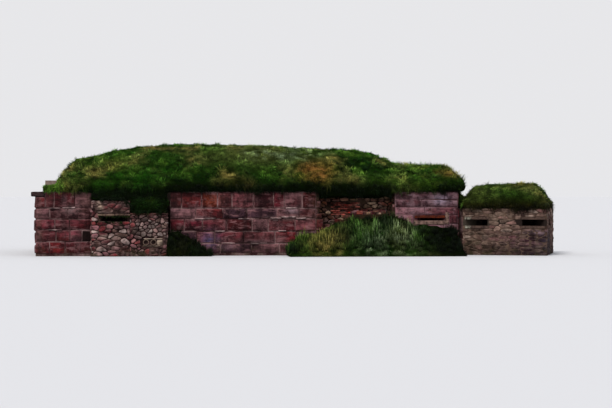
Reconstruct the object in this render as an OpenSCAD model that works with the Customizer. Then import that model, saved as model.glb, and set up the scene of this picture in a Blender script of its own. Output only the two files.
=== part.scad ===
// Turf-roofed coastal bunker: a long masonry casemate under an earth mound, with a small
// pillbox linked to its east end. The front faces -Y, and the ground is at z = 0.

/* [Main casemate] */
// Length of the casemate between the faces of its end walls
main_len = 18900; // [17500:100:21000]
// Depth of the casemate between its front and rear faces
main_depth = 8400; // [7600:100:9600]
// Height of the casemate walls above the ground
wall_h = 2850; // [2750:50:3200]
// Thickness of the casemate walls
wall_t = 900; // [800:50:1000]
// Thickness of the casemate roof slab
roof_t = 500; // [400:50:600]
// Set-back of the roof slab from the wall faces
roof_setback = 400; // [380:20:500]
// Thickness of both floor slabs
floor_t = 150; // [100:10:200]

/* [Front wall bays] */
// Width of the plain bay at the west end
west_bay_w = 2470; // [2000:10:3000]
// Width of the bay that was filled with rubble
rubble_bay_w = 3300; // [2800:10:3600]
// Width of the open slot beside the rubble
slot_w = 150; // [120:10:220]
// Width of the bay whose facing has fallen
fallen_bay_w = 3580; // [3000:10:3800]
// Width of the east casemate's bay, with the plain centre bay taking what is left
east_bay_w = 2870; // [2700:10:3200]
// Thickness of the facing that has fallen
fallen_t = 550; // [450:10:600]
// Height of the first bed joint that the ragged ends follow
joint_1 = 540; // [450:10:600]
// Height of the second bed joint
joint_2 = 1080; // [950:10:1150]
// Height of the third bed joint
joint_3 = 1640; // [1500:10:1750]
// Length of the lowest stones left at the west end of the broken bay
stub_foot = 1500; // [1200:10:1600]
// Length of the stones above them
stub_middle = 1050; // [800:10:1100]
// Length of the stones above those
stub_upper = 330; // [250:10:400]
// Length of the highest stones left at either end
stub_top = 130; // [90:10:160]
// How far the rubble stands out at the ground
rubble_out_foot = 600; // [540:10:750]
// How far the rubble stands out at the top of the wall
rubble_out_top = 450; // [400:10:530]
// Height of the rubble at its west side, where the beam over the bay rests
rubble_top_west = 2450; // [2300:10:2500]
// Height of the rubble at its east side
rubble_top_east = 1910; // [1860:10:2100]
// Length of each end of a beam or lintel that is built into a wall
bearing = 200; // [150:10:300]

/* [Casemate embrasures] */
// Height of the embrasure sills above the ground
slit_sill = 1550; // [1450:10:1650]
// Height of the embrasures
slit_h = 210; // [160:10:260]
// Width of the embrasures at the outer face
slit_w = 1240; // [1100:10:1400]
// Width of the embrasures at the inner face
slit_throat = 640; // [500:10:800]
// Distance from the rubble's west side to its embrasure
rubble_slit_x = 350; // [300:10:500]
// Distance from the east casemate's west side to its embrasure
east_slit_x = 1010; // [900:10:1020]
// How far the concrete dressings stand out of the wall
dressing_out = 40; // [25:5:60]
// Width of the dressed jamb, and how far the sill runs on past the embrasure
jamb_w = 160; // [120:10:180]
// Height of the dressed sill
sill_h = 170; // [120:10:200]
// Height of the steel joist over the east embrasure
joist_h = 110; // [80:10:130]
// How far the joist hangs down over the embrasure
joist_drop = 90; // [60:10:110]

/* [Main doorway] */
// Width of the doorway in the rear wall
door_w = 1000; // [800:10:1200]
// Height of the doorway
door_h = 2000; // [1900:10:2100]
// Distance of the doorway's centre from the middle of the wall
door_x = -2800; // [-5000:100:5000]
// Height of the doorway lintel
lintel_h = 300; // [200:10:350]

/* [Corner stone] */
// Height of the long stone at the west corner of the wall head
corner_stone_h = 210; // [150:10:260]
// Length of that stone along the end wall, from the wall's front face
corner_stone_l = 640; // [500:10:700]
// How far it sticks out past the end wall
corner_stone_out = 200; // [120:10:240]
// How far it sticks out of the front wall
corner_stone_proud = 60; // [40:5:90]

/* [Earth and turf] */
// Height of the mound's crest above the walls
mound_h = 2190; // [1800:10:2400]
// Height of the mound's turf lip on the walls
mound_lip = 250; // [200:10:300]
// Overhang of the mound's lip past the walls
mound_over = 120; // [80:10:140]
// Width of the mound's front and rear slopes
mound_slope = 3300; // [2800:50:3700]
// How much steeper those slopes are at the mound's east end, as a share
east_steep = 0.4; // [0.2:0.05:0.5]
// Size of the hummocks in the old turf
hummock_h = 45; // [20:5:60]
// Distance between the hummocks
hummock_l = 2630; // [2000:10:3200]
// Distance over which the hummocks fade out at an edge
hummock_fade = 900; // [700:50:1200]
// Drop of the sod that hangs where the facing has fallen
brow_drop = 430; // [300:10:460]
// Reach of the slumped turf past the face of the rubble
slump_over = 90; // [60:5:120]
// Thickness of the slumped turf's front at its west end
slump_front = 130; // [90:10:160]
// Reach of the collapsed bank in front of the wall
bank_out = 1900; // [1500:50:2300]
// Reach of the collapsed bank along the centre bay
bank_west = 1350; // [1000:50:1600]
// Reach of the collapsed bank past the east end of the casemate
bank_east = 100; // [60:10:130]
// Height of the collapsed bank against the broken wall
bank_h = 1850; // [1600:10:2000]
// Reach of the small bank beside the rubble
corner_bank_out = 850; // [780:10:1000]
// Height of the small bank beside the rubble
corner_bank_h = 1100; // [900:10:1300]
// Length of the small bank along the centre bay
corner_bank_w = 2000; // [1700:50:2300]
// Thickness of the turf at the toes of the banks
toe_h = 60; // [40:5:100]
// Width of the roof slab's bare strip at the west end
bare_slab_w = 970; // [800:10:1100]
// Height of the turf in front of the bare strip
bare_slab_z = 300; // [250:10:350]

/* [Pillbox] */
// Width of the pillbox along its front
pb_w = 3760; // [3600:10:4200]
// Depth of the pillbox
pb_d = 3700; // [3500:10:4200]
// Height of the pillbox walls above the ground
pb_h = 2100; // [2050:10:2200]
// Thickness of the pillbox walls
pb_t = 550; // [450:10:600]
// Turn of the pillbox towards the west, in degrees
pb_turn = 18; // [14:1:22]
// Gap between the casemate and the pillbox's near corner
pb_gap = 170; // [140:10:250]
// How far that corner stands in front of the casemate
pb_forward = 300; // [200:10:400]
// Thickness of the pillbox roof slab
pb_roof_t = 250; // [200:10:300]
// Set-back of the pillbox roof slab from the wall faces
pb_roof_setback = 150; // [100:10:200]
// Height of the pillbox's embrasure sills above the ground
pb_slit_sill = 1320; // [1200:10:1400]
// Height of the pillbox's embrasures
pb_slit_h = 290; // [250:10:350]
// Width of the pillbox's embrasures at the outer face
pb_slit_w = 980; // [850:10:1050]
// Width of the pillbox's side embrasure at the inner face
pb_throat = 800; // [600:10:900]
// Distance of the front embrasures from the pillbox's corners
pb_slit_edge = 130; // [100:10:200]
// Width of the pillbox doorway
pb_door_w = 800; // [700:10:900]
// Height of the pillbox doorway
pb_door_h = 1820; // [1750:10:1850]
// Height of the turf cap above the pillbox walls
cap_h = 1130; // [900:10:1200]
// Height of the turf cap's lip
cap_lip = 260; // [200:10:300]
// Overhang of the turf cap
cap_over = 80; // [50:5:100]
// Width of the turf cap's front and rear slopes
cap_slope = 1150; // [900:50:1400]
// Distance over which the cap's hummocks fade out at an edge
cap_fade = 500; // [400:50:700]
// Height of the slabs over and under the pillbox's front embrasures
pb_dressing_h = 110; // [80:5:120]
// Thickness of the two link walls
link_t = 600; // [500:10:700]
// Set-back of the front link wall from the casemate's front
link_setback = 300; // [200:10:500]
// Fall of the turf between the link walls
link_fall = 350; // [250:10:450]

/* [Hidden] */

x_w = -main_len / 2;
x_e = main_len / 2;
y_f = -main_depth / 2;
y_r = main_depth / 2;
y_in = y_f + wall_t;
x_rubble = x_w + west_bay_w;
x_slot = x_rubble + rubble_bay_w;
x_centre = x_slot + slot_w;
x_east = x_e - east_bay_w;
x_fallen = x_east - fallen_bay_w;
slit_top = slit_sill + slit_h;
beam_z = rubble_top_west;
rubble_step_x = x_rubble + rubble_slit_x + slit_w + slump_over;
pb_slit_top = pb_slit_sill + pb_slit_h;
pb_east_slit_y = pb_t + 0.36 * pb_slit_w;
link_y0 = y_f + link_setback;
link_y1 = y_f - pb_forward + pb_d * cos(pb_turn);
fill_1 = 0.22 * fallen_bay_w;
fill_2 = 0.35 * fallen_bay_w;
fill_3 = 0.50 * fallen_bay_w;
edge_in = 0.5 * roof_setback;
cut = 50;

// Crest of the mound: share of the length from the west, and share of the crest's height
CREST = [
  [-0.01, 0.10], [0.052, 0.13], [0.068, 0.44], [0.10, 0.67], [0.16, 0.80], [0.20, 0.89],
  [0.25, 0.95], [0.33, 0.99], [0.42, 1.00], [0.55, 0.97], [0.65, 0.92], [0.76, 0.89],
  [0.81, 0.82], [0.845, 0.71], [0.875, 0.58], [0.92, 0.56], [0.965, 0.51], [0.99, 0.48],
  [1.002, 0.43], [1.01, 0.30]
];
// Crest of the pillbox's cap in the same way
CAP_CREST = [
  [-0.03, 0.24], [0.03, 0.52], [0.08, 0.74], [0.22, 0.92], [0.45, 0.95], [0.68, 1.00],
  [0.82, 0.97], [0.91, 0.70], [0.97, 0.42], [1.03, 0.24]
];
// Height of the collapsed bank along the wall: distance from the broken end, share of height
BANK = [
  [-bank_west, 0.10], [-0.67 * bank_west, 0.46], [0, 0.53], [fill_1, 0.76], [fill_2, 0.86],
  [fill_3, 0.98], [fallen_bay_w, 1.00], [fallen_bay_w + 0.30 * east_bay_w, 0.735],
  [fallen_bay_w + 0.70 * east_bay_w, 0.72], [fallen_bay_w + 0.90 * east_bay_w, 0.68],
  [fallen_bay_w + 0.99 * east_bay_w, 0.60], [fallen_bay_w + east_bay_w + bank_east, 0.16]
];
// Height of the corner bank along the wall: share of its length, share of its height
CORNER_BANK = [[0, 1.00], [0.32, 0.96], [0.59, 0.64], [0.77, 0.32], [1, 0.08]];

function steps(a, b, n) = [for (i = [0:n]) a + (b - a) * i / n];
function share(v) = min(1, max(0, v));
function ease(v) = share(v) * share(v) * (3 - 2 * share(v));

// Solid under a surface: a closed heap over a grid of x and y places, flat at its base
module heap(xs, ys, base, top) {
  nx = len(xs);
  ny = len(ys);
  n = nx * ny;
  surface = [for (x = xs) for (y = ys) [x, y, top(x, y)]];
  ring = concat(
    [for (i = [0:nx - 2]) i * ny],
    [for (j = [0:ny - 2]) (nx - 1) * ny + j],
    [for (i = [nx - 1:-1:1]) i * ny + ny - 1],
    [for (j = [ny - 1:-1:1]) j]
  );
  m = len(ring);
  foot = [for (k = ring) [surface[k].x, surface[k].y, base]];
  middle = [(xs[0] + xs[nx - 1]) / 2, (ys[0] + ys[ny - 1]) / 2, base];
  cells = [for (i = [0:nx - 2]) for (j = [0:ny - 2]) i * ny + j];
  faces = concat(
    [for (a = cells) [a, a + 1, a + ny + 1]],
    [for (a = cells) [a, a + ny + 1, a + ny]],
    [for (k = [0:m - 1]) [ring[k], ring[(k + 1) % m], n + (k + 1) % m, n + k]],
    [for (k = [0:m - 1]) [n + k, n + (k + 1) % m, n + m]]
  );
  polyhedron(concat(surface, foot, [middle]), faces);
}

// Box between two corners
module block(low, high) translate(low) cube(high - low);

// Solid under a sloping top on a four-cornered plan
module sloped_prism(plan, base, tops) {
  points = concat(
    [for (p = plan) [p.x, p.y, base]],
    [for (i = [0:3]) [plan[i].x, plan[i].y, tops[i]]]
  );
  sides = [for (i = [0:3]) [i + 4, (i + 1) % 4 + 4, (i + 1) % 4, i]];
  polyhedron(points, concat([[0, 1, 2, 3], [4, 6, 5], [4, 7, 6]], sides));
}

// Splayed opening through a wall that faces -Y, in plan from its outer to its inner face
module splay(outer, inner, y0, y1, z0, z1) {
  slope0 = (inner[0] - outer[0]) / (y1 - y0);
  slope1 = (inner[1] - outer[1]) / (y1 - y0);
  translate([0, 0, z0]) linear_extrude(z1 - z0) polygon([
    [outer[0] - slope0 * cut, y0 - cut], [outer[1] - slope1 * cut, y0 - cut],
    [inner[1] + slope1 * cut, y1 + cut], [inner[0] + slope0 * cut, y1 + cut]
  ]);
}

// Casemate embrasure that starts at x
module casemate_slit(x, y0) {
  inset = (slit_w - slit_throat) / 2;
  splay([x, x + slit_w], [x + inset, x + slit_w - inset], y0, y_in, slit_sill, slit_top);
}

module main_floor() color("dimgray")
  block([x_w + wall_t, y_in, 0], [x_e - wall_t, y_r - wall_t, floor_t]);

module front_wall_west() color("#6b4544") difference() {
  block([x_w, y_f, 0], [x_rubble, y_in, wall_h]);
  bay_beam_body();
  corner_stone_body(cut);
}

// Rubble fill between two heights, with its battered front
module rubble(x0, x1, z0, z1) {
  function front(z) = y_f - rubble_out_foot + (rubble_out_foot - rubble_out_top) * z / wall_h;
  translate([x0, 0, 0]) rotate([90, 0, 90]) linear_extrude(x1 - x0)
    polygon([[front(z0), z0], [y_in, z0], [y_in, z1], [front(z1), z1]]);
}

module rubble_sill() color("#7a5f5a") rubble(x_rubble, x_slot, 0, slit_sill);

module rubble_piers() color("#7a5f5a") difference() {
  rubble(x_rubble, x_slot, slit_sill, slit_top);
  casemate_slit(x_rubble + rubble_slit_x, y_f - rubble_out_foot);
}

module rubble_head() color("#7a5f5a") {
  rubble(x_rubble, rubble_step_x, slit_top, rubble_top_west);
  rubble(rubble_step_x, x_slot, slit_top, rubble_top_east);
  block([x_rubble, y_f, slit_top], [x_slot, y_in, beam_z]);
}

module bay_beam_body()
  block([x_rubble - bearing, y_f, beam_z], [x_centre + bearing, y_in, wall_h]);

module rubble_bay_beam() color("gray") bay_beam_body();

module slot_back() color("#5a4342")
  block([x_slot, y_f + fallen_t, 0], [x_centre, y_in, beam_z]);

module front_wall_centre() color("#6b4544") difference() {
  block([x_centre, y_f, 0], [x_fallen, y_in, wall_h]);
  bay_beam_body();
}

// Ragged end of the fallen facing: the run of stones left at each height
module stub(runs, side) {
  for (r = runs)
    block([min(0, r[2] * side), y_f, r[0]], [max(0, r[2] * side), y_f + fallen_t, r[1]]);
}

module broken_stubs() color("#6b4544") {
  translate([x_fallen, 0, 0])
    stub([
      [0, joint_1, stub_foot], [joint_1, joint_2, stub_middle], [joint_2, joint_3, stub_upper],
      [joint_3, wall_h, stub_top]
    ], 1);
  translate([x_east, 0, 0])
    stub([
      [0, joint_1, 2 * stub_upper], [joint_1, joint_3, stub_upper],
      [joint_3, wall_h - fallen_t, stub_top]
    ], -1);
}

module broken_core() color("#7d4a3c")
  block([x_fallen, y_f + fallen_t, 0], [x_east, y_in, wall_h]);

module east_casemate_sill() color("#7b5a5c")
  block([x_east, y_f, 0], [x_e, y_in, slit_sill]);

module east_casemate_piers() color("#7b5a5c") difference() {
  block([x_east, y_f, slit_sill], [x_e, y_in, slit_top]);
  casemate_slit(x_east + east_slit_x, y_f);
}

module east_casemate_head() color("#7b5a5c")
  block([x_east, y_f, slit_top], [x_e, y_in, wall_h]);

module east_casemate_dressings() color("#9c8480") {
  x0 = x_east + east_slit_x;
  x1 = x0 + slit_w;
  gap = jamb_w / 5;
  block([x0 - jamb_w, y_f - dressing_out, slit_sill - sill_h], [x1 + gap + jamb_w, y_f, slit_sill]);
  block([x1 + gap, y_f - dressing_out, slit_sill + gap / 5],
        [x1 + gap + jamb_w, y_f, slit_top + jamb_w]);
}

module east_casemate_beam() color("#8a4a1f")
  block([x_east + east_slit_x - joist_h, y_f - dressing_out, slit_top - joist_drop],
        [x_east + east_slit_x + slit_w + jamb_w / 8, y_f, slit_top - joist_drop + joist_h]);

module end_wall(x0) block([x0, y_in, 0], [x0 + wall_t, y_r - wall_t, wall_h]);

module end_walls() color("#6b4544") {
  end_wall(x_w);
  end_wall(x_e - wall_t);
}

module door_lintel_body()
  block([door_x - door_w / 2 - bearing, y_r - wall_t, door_h],
        [door_x + door_w / 2 + bearing, y_r, door_h + lintel_h]);

module rear_wall(x0, x1) difference() {
  block([x0, y_r - wall_t, 0], [x1, y_r, wall_h]);
  door_lintel_body();
}

module rear_wall_sides() color("#6b4544") {
  rear_wall(x_w, door_x - door_w / 2);
  rear_wall(door_x + door_w / 2, x_e);
}

module rear_wall_over_door() color("#6b4544")
  block([door_x - door_w / 2, y_r - wall_t, door_h + lintel_h],
        [door_x + door_w / 2, y_r, wall_h]);

module rear_door_lintel() color("gray") door_lintel_body();

module roof_slab() color("#a09488")
  block([x_w + roof_setback, y_f + roof_setback, wall_h],
        [x_e - roof_setback, y_r - roof_setback, wall_h + roof_t]);

// Long stone let into the wall head at the west corner, with a margin above it for its notch
module corner_stone_body(above = 0)
  block([x_w - corner_stone_out, y_f - corner_stone_proud, wall_h - corner_stone_h],
        [x_w + roof_setback, y_f + corner_stone_l, wall_h + above]);

module corner_stone() color("#4a3a38") corner_stone_body();

// Gentle unevenness of old turf
function hummock(x, y) =
  let (u = 360 * x / hummock_l, v = 360 * y / hummock_l)
  hummock_h * (sin(u + 40) * cos(1.4 * v + 0.7 * u) + 0.55 * sin(2.35 * u - 1.7 * v));

// Top of the mound at a place: a lip at its edge, slopes at front and rear, and the crest
function mound_top(x, y) =
  let (
    reach = min(y - (y_f - mound_over), y_r + mound_over - y),
    slope = mound_slope * (1 - east_steep * ease(1 - (x_e - x) / east_bay_w)),
    rise = pow(sin(90 * share(reach / slope)), 0.9),
    crest = mound_h * lookup((x - x_w) / main_len, CREST),
    body = mound_lip + (max(crest, mound_lip) - mound_lip) * rise
  )
  wall_h + body + hummock(x, y) * ease(reach / hummock_fade)
    * ease((x - x_w) / hummock_fade) * ease((x_e - x) / hummock_fade);

// Turf edge of the mound round three sides of the roof slab, lower in front of its bare west end
module mound_edge() color("#3c4a1e") difference() {
  hull() {
    block([x_w - mound_over, y_f - mound_over, wall_h],
          [x_e + mound_over, y_r + mound_over, wall_h + mound_lip]);
    block([x_w + edge_in - mound_over, y_f + edge_in - mound_over, wall_h],
          [x_e - edge_in + mound_over, y_r - edge_in + mound_over, wall_h + roof_t]);
  }
  block([x_w - mound_over - cut, y_f + roof_setback, wall_h - cut],
        [x_e - roof_setback, y_r - roof_setback, wall_h + roof_t + cut]);
  block([x_w - mound_over - cut, y_f - mound_over - cut, wall_h - cut],
        [x_w + 0.75 * roof_setback, y_r + mound_over + cut, wall_h + roof_t + cut]);
  block([x_w - mound_over - cut, y_f - mound_over - cut, wall_h + bare_slab_z],
        [x_w + bare_slab_w, y_f + roof_setback + cut, wall_h + roof_t + cut]);
}

module turf_mound() color("#3c4a1e") heap(
  steps(x_w + bare_slab_w, x_e + mound_over - 0.5 * edge_in, 46),
  steps(y_f - mound_over + edge_in, y_r + mound_over - edge_in, 18),
  wall_h + roof_t, function(x, y) max(wall_h + roof_t + toe_h, mound_top(x, y))
);

// Turf that has slid down over the top of the rubble, between two places and down to a ledge
module turf_slump(x0, x1, ledge, front0, front1, n) {
  reach = rubble_out_top + slump_over;
  top = function(x, y)
    let (t = share((y_f - y) / reach), low = ledge + front0 + (front1 - front0) * (x - x0) / (x1 - x0))
    wall_h + (low - wall_h) * pow(t, 1.4) + hummock(x, y) * t * (1 - t);
  heap(steps(x0, x1, n), steps(y_f - reach, y_f, 6), ledge, top);
}

module turf_slump_west() color("#3c4a1e")
  turf_slump(x_rubble, rubble_step_x, rubble_top_west, slump_front, slump_front / 2, 8);

module turf_slump_east() color("#3c4a1e")
  turf_slump(rubble_step_x, x_slot, rubble_top_east, 2.5 * slump_front, slump_front, 8);

// Sod that hangs under the mound's lip where the facing has fallen
module turf_brow() color("#3c4a1e")
  translate([x_fallen + stub_top, 0, 0]) rotate([90, 0, 90])
    linear_extrude(fallen_bay_w - 2 * stub_top) polygon([
      [y_f + fallen_t, wall_h], [y_f - mound_over, wall_h],
      [y_f - 0.7 * mound_over, wall_h - 0.5 * brow_drop],
      [y_f + 0.35 * fallen_t, wall_h - 0.85 * brow_drop], [y_f + fallen_t, wall_h - brow_drop]
    ]);

// Height of the collapsed bank against the wall at an x place
function bank_at(x) = bank_h * lookup(x - x_fallen, BANK);

// Bank of earth and fallen masonry in front of the broken bay and the east casemate
module collapsed_bank() color("#454a24") heap(
  steps(x_fallen - bank_west, x_e + bank_east, 30), steps(y_f - bank_out, y_f, 9), 0,
  function(x, y) let (t = share((y_f - y) / bank_out))
    toe_h + (bank_at(x) - toe_h) * (1 - pow(t, 1.25)) + 2.8 * hummock(x, y) * t * (1 - t)
);

// Fallen masonry inside the broken bay, between its ragged ends
module bay_fill() color("#6b5a4a") translate([0, y_f + fallen_t, 0]) rotate([90, 0, 0])
  linear_extrude(fallen_t) polygon([
    [x_fallen + stub_foot, 0], [x_east - 2 * stub_upper, 0], [x_east - 2 * stub_upper, joint_1],
    [x_east - stub_upper, joint_1], [x_east - stub_upper, bank_at(x_east - stub_upper)],
    [x_fallen + fill_3, bank_at(x_fallen + fill_3)], [x_fallen + fill_2, bank_at(x_fallen + fill_2)],
    [x_fallen + fill_1, bank_at(x_fallen + fill_1)], [x_fallen + stub_upper, joint_2],
    [x_fallen + stub_middle, joint_2], [x_fallen + stub_middle, joint_1],
    [x_fallen + stub_foot, joint_1]
  ]);

// Small bank in the corner between the rubble and the centre bay
module corner_bank() color("#454a24") {
  top = function(x, y) let (
      t = share((y_f - y) / corner_bank_out),
      h = corner_bank_h * lookup((x - x_slot) / corner_bank_w, CORNER_BANK)
    )
    toe_h + (h - toe_h) * (1 - pow(t, 1.3)) + hummock(x, y) * t * (1 - t) * 2;
  heap(
    steps(x_slot, x_slot + corner_bank_w, 10), steps(y_f - corner_bank_out, y_f, 6), 0, top
  );
}

// The pillbox's own frame: x along its front, y from its front to its rear
module in_pillbox() translate([x_e + pb_gap, y_f - pb_forward, 0]) rotate(-pb_turn) children();

// The x place of the pillbox's west face at a y place
function pb_face(y) = x_e + pb_gap + (y - y_f + pb_forward) * tan(pb_turn);

module link_wall(y0, y1) linear_extrude(pb_h)
  polygon([[x_e, y0], [pb_face(y0), y0], [pb_face(y1), y1], [x_e, y1]]);

module link_walls() color("#6b4544") {
  link_wall(link_y0, link_y0 + link_t);
  link_wall(link_y1 - link_t, link_y1);
}

// Earth between the link walls, with its turf top beside the pillbox's cap
module link_turf() color("#3c4a1e") {
  side0 = pb_face(link_y0) - 1.1 * cap_over;
  side1 = pb_face(link_y1) - 1.1 * cap_over;
  link_wall(link_y0 + link_t, link_y1 - link_t);
  sloped_prism(
    [[x_e, link_y0], [side0, link_y0], [side1, link_y1], [x_e, link_y1]],
    pb_h, [wall_h, wall_h - 0.6 * link_fall, wall_h - link_fall, wall_h - 0.3 * link_fall]
  );
}

module pillbox_floor() color("dimgray") in_pillbox()
  block([pb_t, pb_t, 0], [pb_w - pb_t, pb_d - pb_t, floor_t]);

module pillbox_front_sill() color("#84685f") in_pillbox()
  block([0, 0, 0], [pb_w, pb_t, pb_slit_sill]);

module pillbox_front_piers() color("#84685f") in_pillbox() difference() {
  block([0, 0, pb_slit_sill], [pb_w, pb_t, pb_slit_top]);
  near = pb_slit_edge;
  far = pb_slit_edge + pb_slit_w;
  splay([near, far], [pb_t, far], 0, pb_t, pb_slit_sill, pb_slit_top);
  splay([pb_w - far, pb_w - near], [pb_w - far, pb_w - pb_t], 0, pb_t, pb_slit_sill, pb_slit_top);
}

module pillbox_front_head() color("#84685f") in_pillbox()
  block([0, 0, pb_slit_top], [pb_w, pb_t, pb_h]);

module pillbox_side(x0, z0, z1)
  block([x0, pb_t, z0], [x0 + pb_t, pb_d - pb_t, z1]);

module pillbox_east_sill() color("#84685f") in_pillbox()
  pillbox_side(pb_w - pb_t, 0, pb_slit_sill);

module pillbox_east_piers() color("#84685f") in_pillbox() difference() {
  pillbox_side(pb_w - pb_t, pb_slit_sill, pb_slit_top);
  y0 = pb_east_slit_y;
  inset = (pb_slit_w - pb_throat) / 2;
  translate([pb_w, 0, 0]) rotate(90)
    splay([y0, y0 + pb_slit_w], [y0 + inset, y0 + pb_slit_w - inset], 0, pb_t,
          pb_slit_sill, pb_slit_top);
}

module pillbox_east_head() color("#84685f") in_pillbox()
  pillbox_side(pb_w - pb_t, pb_slit_top, pb_h);

module pillbox_west_wall() color("#84685f") in_pillbox() pillbox_side(0, 0, pb_h);

module pillbox_lintel_body()
  block([pb_w / 2 - pb_door_w / 2 - bearing, pb_d - pb_t, pb_door_h],
        [pb_w / 2 + pb_door_w / 2 + bearing, pb_d, pb_h]);

module pillbox_rear_walls() color("#84685f") in_pillbox() difference() {
  block([0, pb_d - pb_t, 0], [pb_w, pb_d, pb_h]);
  block([pb_w / 2 - pb_door_w / 2, pb_d - pb_t - cut, -cut],
        [pb_w / 2 + pb_door_w / 2, pb_d + cut, pb_h + cut]);
  pillbox_lintel_body();
}

module pillbox_rear_lintel() color("gray") in_pillbox() pillbox_lintel_body();

module pillbox_roof_body()
  block([pb_roof_setback, pb_roof_setback, pb_h],
        [pb_w - pb_roof_setback, pb_d - pb_roof_setback, pb_h + pb_roof_t]);

module pillbox_roof_slab() color("#a09488") in_pillbox() pillbox_roof_body();

module pillbox_turf_edge() color("#3a461c") in_pillbox() difference() {
  block([-cap_over, -cap_over, pb_h], [pb_w + cap_over, pb_d + cap_over, pb_h + pb_roof_t]);
  translate([0, 0, -cut]) pillbox_roof_body();
  translate([0, 0, cut]) pillbox_roof_body();
}

// Top of the pillbox's cap at a place in the pillbox's frame
function cap_top(x, y) =
  let (
    reach = min(y + cap_over, pb_d + cap_over - y),
    rise = pow(sin(90 * share(reach / cap_slope)), 0.8),
    crest = max(cap_lip, cap_h * lookup(x / pb_w, CAP_CREST))
  )
  pb_h + cap_lip + (crest - cap_lip) * rise
    + 0.5 * hummock(x * 1.6, y * 1.6) * ease(reach / cap_fade)
      * ease(x / cap_fade) * ease((pb_w - x) / cap_fade);

module pillbox_turf() color("#3a461c") in_pillbox() heap(
  steps(-cap_over, pb_w + cap_over, 18), steps(-cap_over, pb_d + cap_over, 16),
  pb_h + pb_roof_t, function(x, y) max(pb_h + pb_roof_t + toe_h / 3, cap_top(x, y))
);

// Lintel and sill slabs on the face round the two front embrasures
module pillbox_dressings() color("#a08a84") in_pillbox()
  for (x0 = [pb_slit_edge, pb_w - pb_slit_edge - pb_slit_w]) {
    x1 = x0 + pb_slit_w + dressing_out;
    block([x0 - dressing_out, -dressing_out, pb_slit_sill - pb_dressing_h], [x1, 0, pb_slit_sill]);
    block([x0 - dressing_out, -dressing_out, pb_slit_top], [x1, 0, pb_slit_top + pb_dressing_h]);
  }

main_floor();
front_wall_west();
rubble_sill();
rubble_piers();
rubble_head();
rubble_bay_beam();
slot_back();
front_wall_centre();
broken_stubs();
broken_core();
east_casemate_sill();
east_casemate_piers();
east_casemate_head();
east_casemate_dressings();
east_casemate_beam();
end_walls();
rear_wall_sides();
rear_wall_over_door();
rear_door_lintel();
roof_slab();
corner_stone();
mound_edge();
turf_mound();
turf_slump_west();
turf_slump_east();
turf_brow();
collapsed_bank();
bay_fill();
corner_bank();
link_walls();
link_turf();
pillbox_floor();
pillbox_front_sill();
pillbox_front_piers();
pillbox_front_head();
pillbox_east_sill();
pillbox_east_piers();
pillbox_east_head();
pillbox_west_wall();
pillbox_rear_walls();
pillbox_rear_lintel();
pillbox_roof_slab();
pillbox_turf_edge();
pillbox_turf();
pillbox_dressings();
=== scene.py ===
import math

import bpy
import numpy as np
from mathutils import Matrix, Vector, noise


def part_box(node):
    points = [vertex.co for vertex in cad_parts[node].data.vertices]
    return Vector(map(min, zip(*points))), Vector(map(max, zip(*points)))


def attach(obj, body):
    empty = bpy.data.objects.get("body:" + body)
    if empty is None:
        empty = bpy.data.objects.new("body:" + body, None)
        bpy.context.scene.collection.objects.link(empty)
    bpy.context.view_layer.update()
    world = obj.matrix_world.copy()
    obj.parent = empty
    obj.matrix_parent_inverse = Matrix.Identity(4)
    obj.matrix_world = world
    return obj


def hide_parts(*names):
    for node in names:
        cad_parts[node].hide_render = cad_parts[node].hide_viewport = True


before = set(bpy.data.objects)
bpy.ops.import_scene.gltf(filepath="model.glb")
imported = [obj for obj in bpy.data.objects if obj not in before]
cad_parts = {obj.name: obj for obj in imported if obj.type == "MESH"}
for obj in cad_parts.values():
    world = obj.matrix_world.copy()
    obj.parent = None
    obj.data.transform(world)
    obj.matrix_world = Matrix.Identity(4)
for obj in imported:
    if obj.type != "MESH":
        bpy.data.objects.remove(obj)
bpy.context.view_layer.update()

# Camera, light and floor. The camera stands where the photograph was taken, well to the west of the
# bunker's middle and a little under three metres up, with a longer lens than the photograph's so
# that the bunker fills the picture.
front_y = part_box("front_wall_west")[0].y
west_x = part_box("front_wall_west")[0].x
east_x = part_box("east_casemate_head")[1].x
stand_off = 75.1
eye = Vector((-4.68, front_y - stand_off, 2.83))
aim = Vector(((west_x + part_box("pillbox_turf")[1].x) / 2 + 0.05, front_y, 2.3))
photograph_lens = 50.0
closer = 1.98

camera = bpy.data.objects.new("camera", bpy.data.cameras.new("camera"))
camera.data.sensor_width = 36.0
camera.data.lens = photograph_lens * closer
camera.data.clip_end = 2000.0
camera.location = eye
camera.rotation_euler = (aim - eye).to_track_quat("-Z", "Y").to_euler()
bpy.context.collection.objects.link(camera)
bpy.context.scene.camera = camera


def add_sun(name, strength, softness, height, bearing, colour):
    """A soft lamp at a height above the ground and a bearing from the front, in degrees."""
    lamp = bpy.data.lights.new(name, "SUN")
    lamp.energy = strength
    lamp.angle = math.radians(softness)
    lamp.color = colour
    sun = bpy.data.objects.new(name, lamp)
    sun.rotation_euler = (math.radians(90 - height), 0, math.radians(bearing))
    bpy.context.collection.objects.link(sun)


add_sun("key_light", 2.5, 20, 50, -32, (1.0, 0.98, 0.95))
add_sun("fill_light", 0.55, 70, 30, 45, (0.94, 0.96, 1.0))
add_sun("rear_light", 0.7, 70, 45, 190, (1.0, 1.0, 1.0))


class Shade:
    """A socket in a material, with the arithmetic that adds Math nodes."""

    def __init__(self, tree, socket):
        self.tree = tree
        self.socket = socket

    def math(self, operation, first, second, clamp=False):
        settings = {"operation": operation, "use_clamp": clamp}
        return put_node(self.tree, "ShaderNodeMath", settings, {0: first, 1: second})

    def __add__(self, other):
        return self.math("ADD", self, other)

    def __sub__(self, other):
        return self.math("SUBTRACT", self, other)

    def __rsub__(self, other):
        return self.math("SUBTRACT", other, self)

    def __mul__(self, other):
        return self.math("MULTIPLY", self, other)

    def held(self):
        """The value kept between nothing and one."""
        return self.math("ADD", self, 0.0, True)


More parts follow.
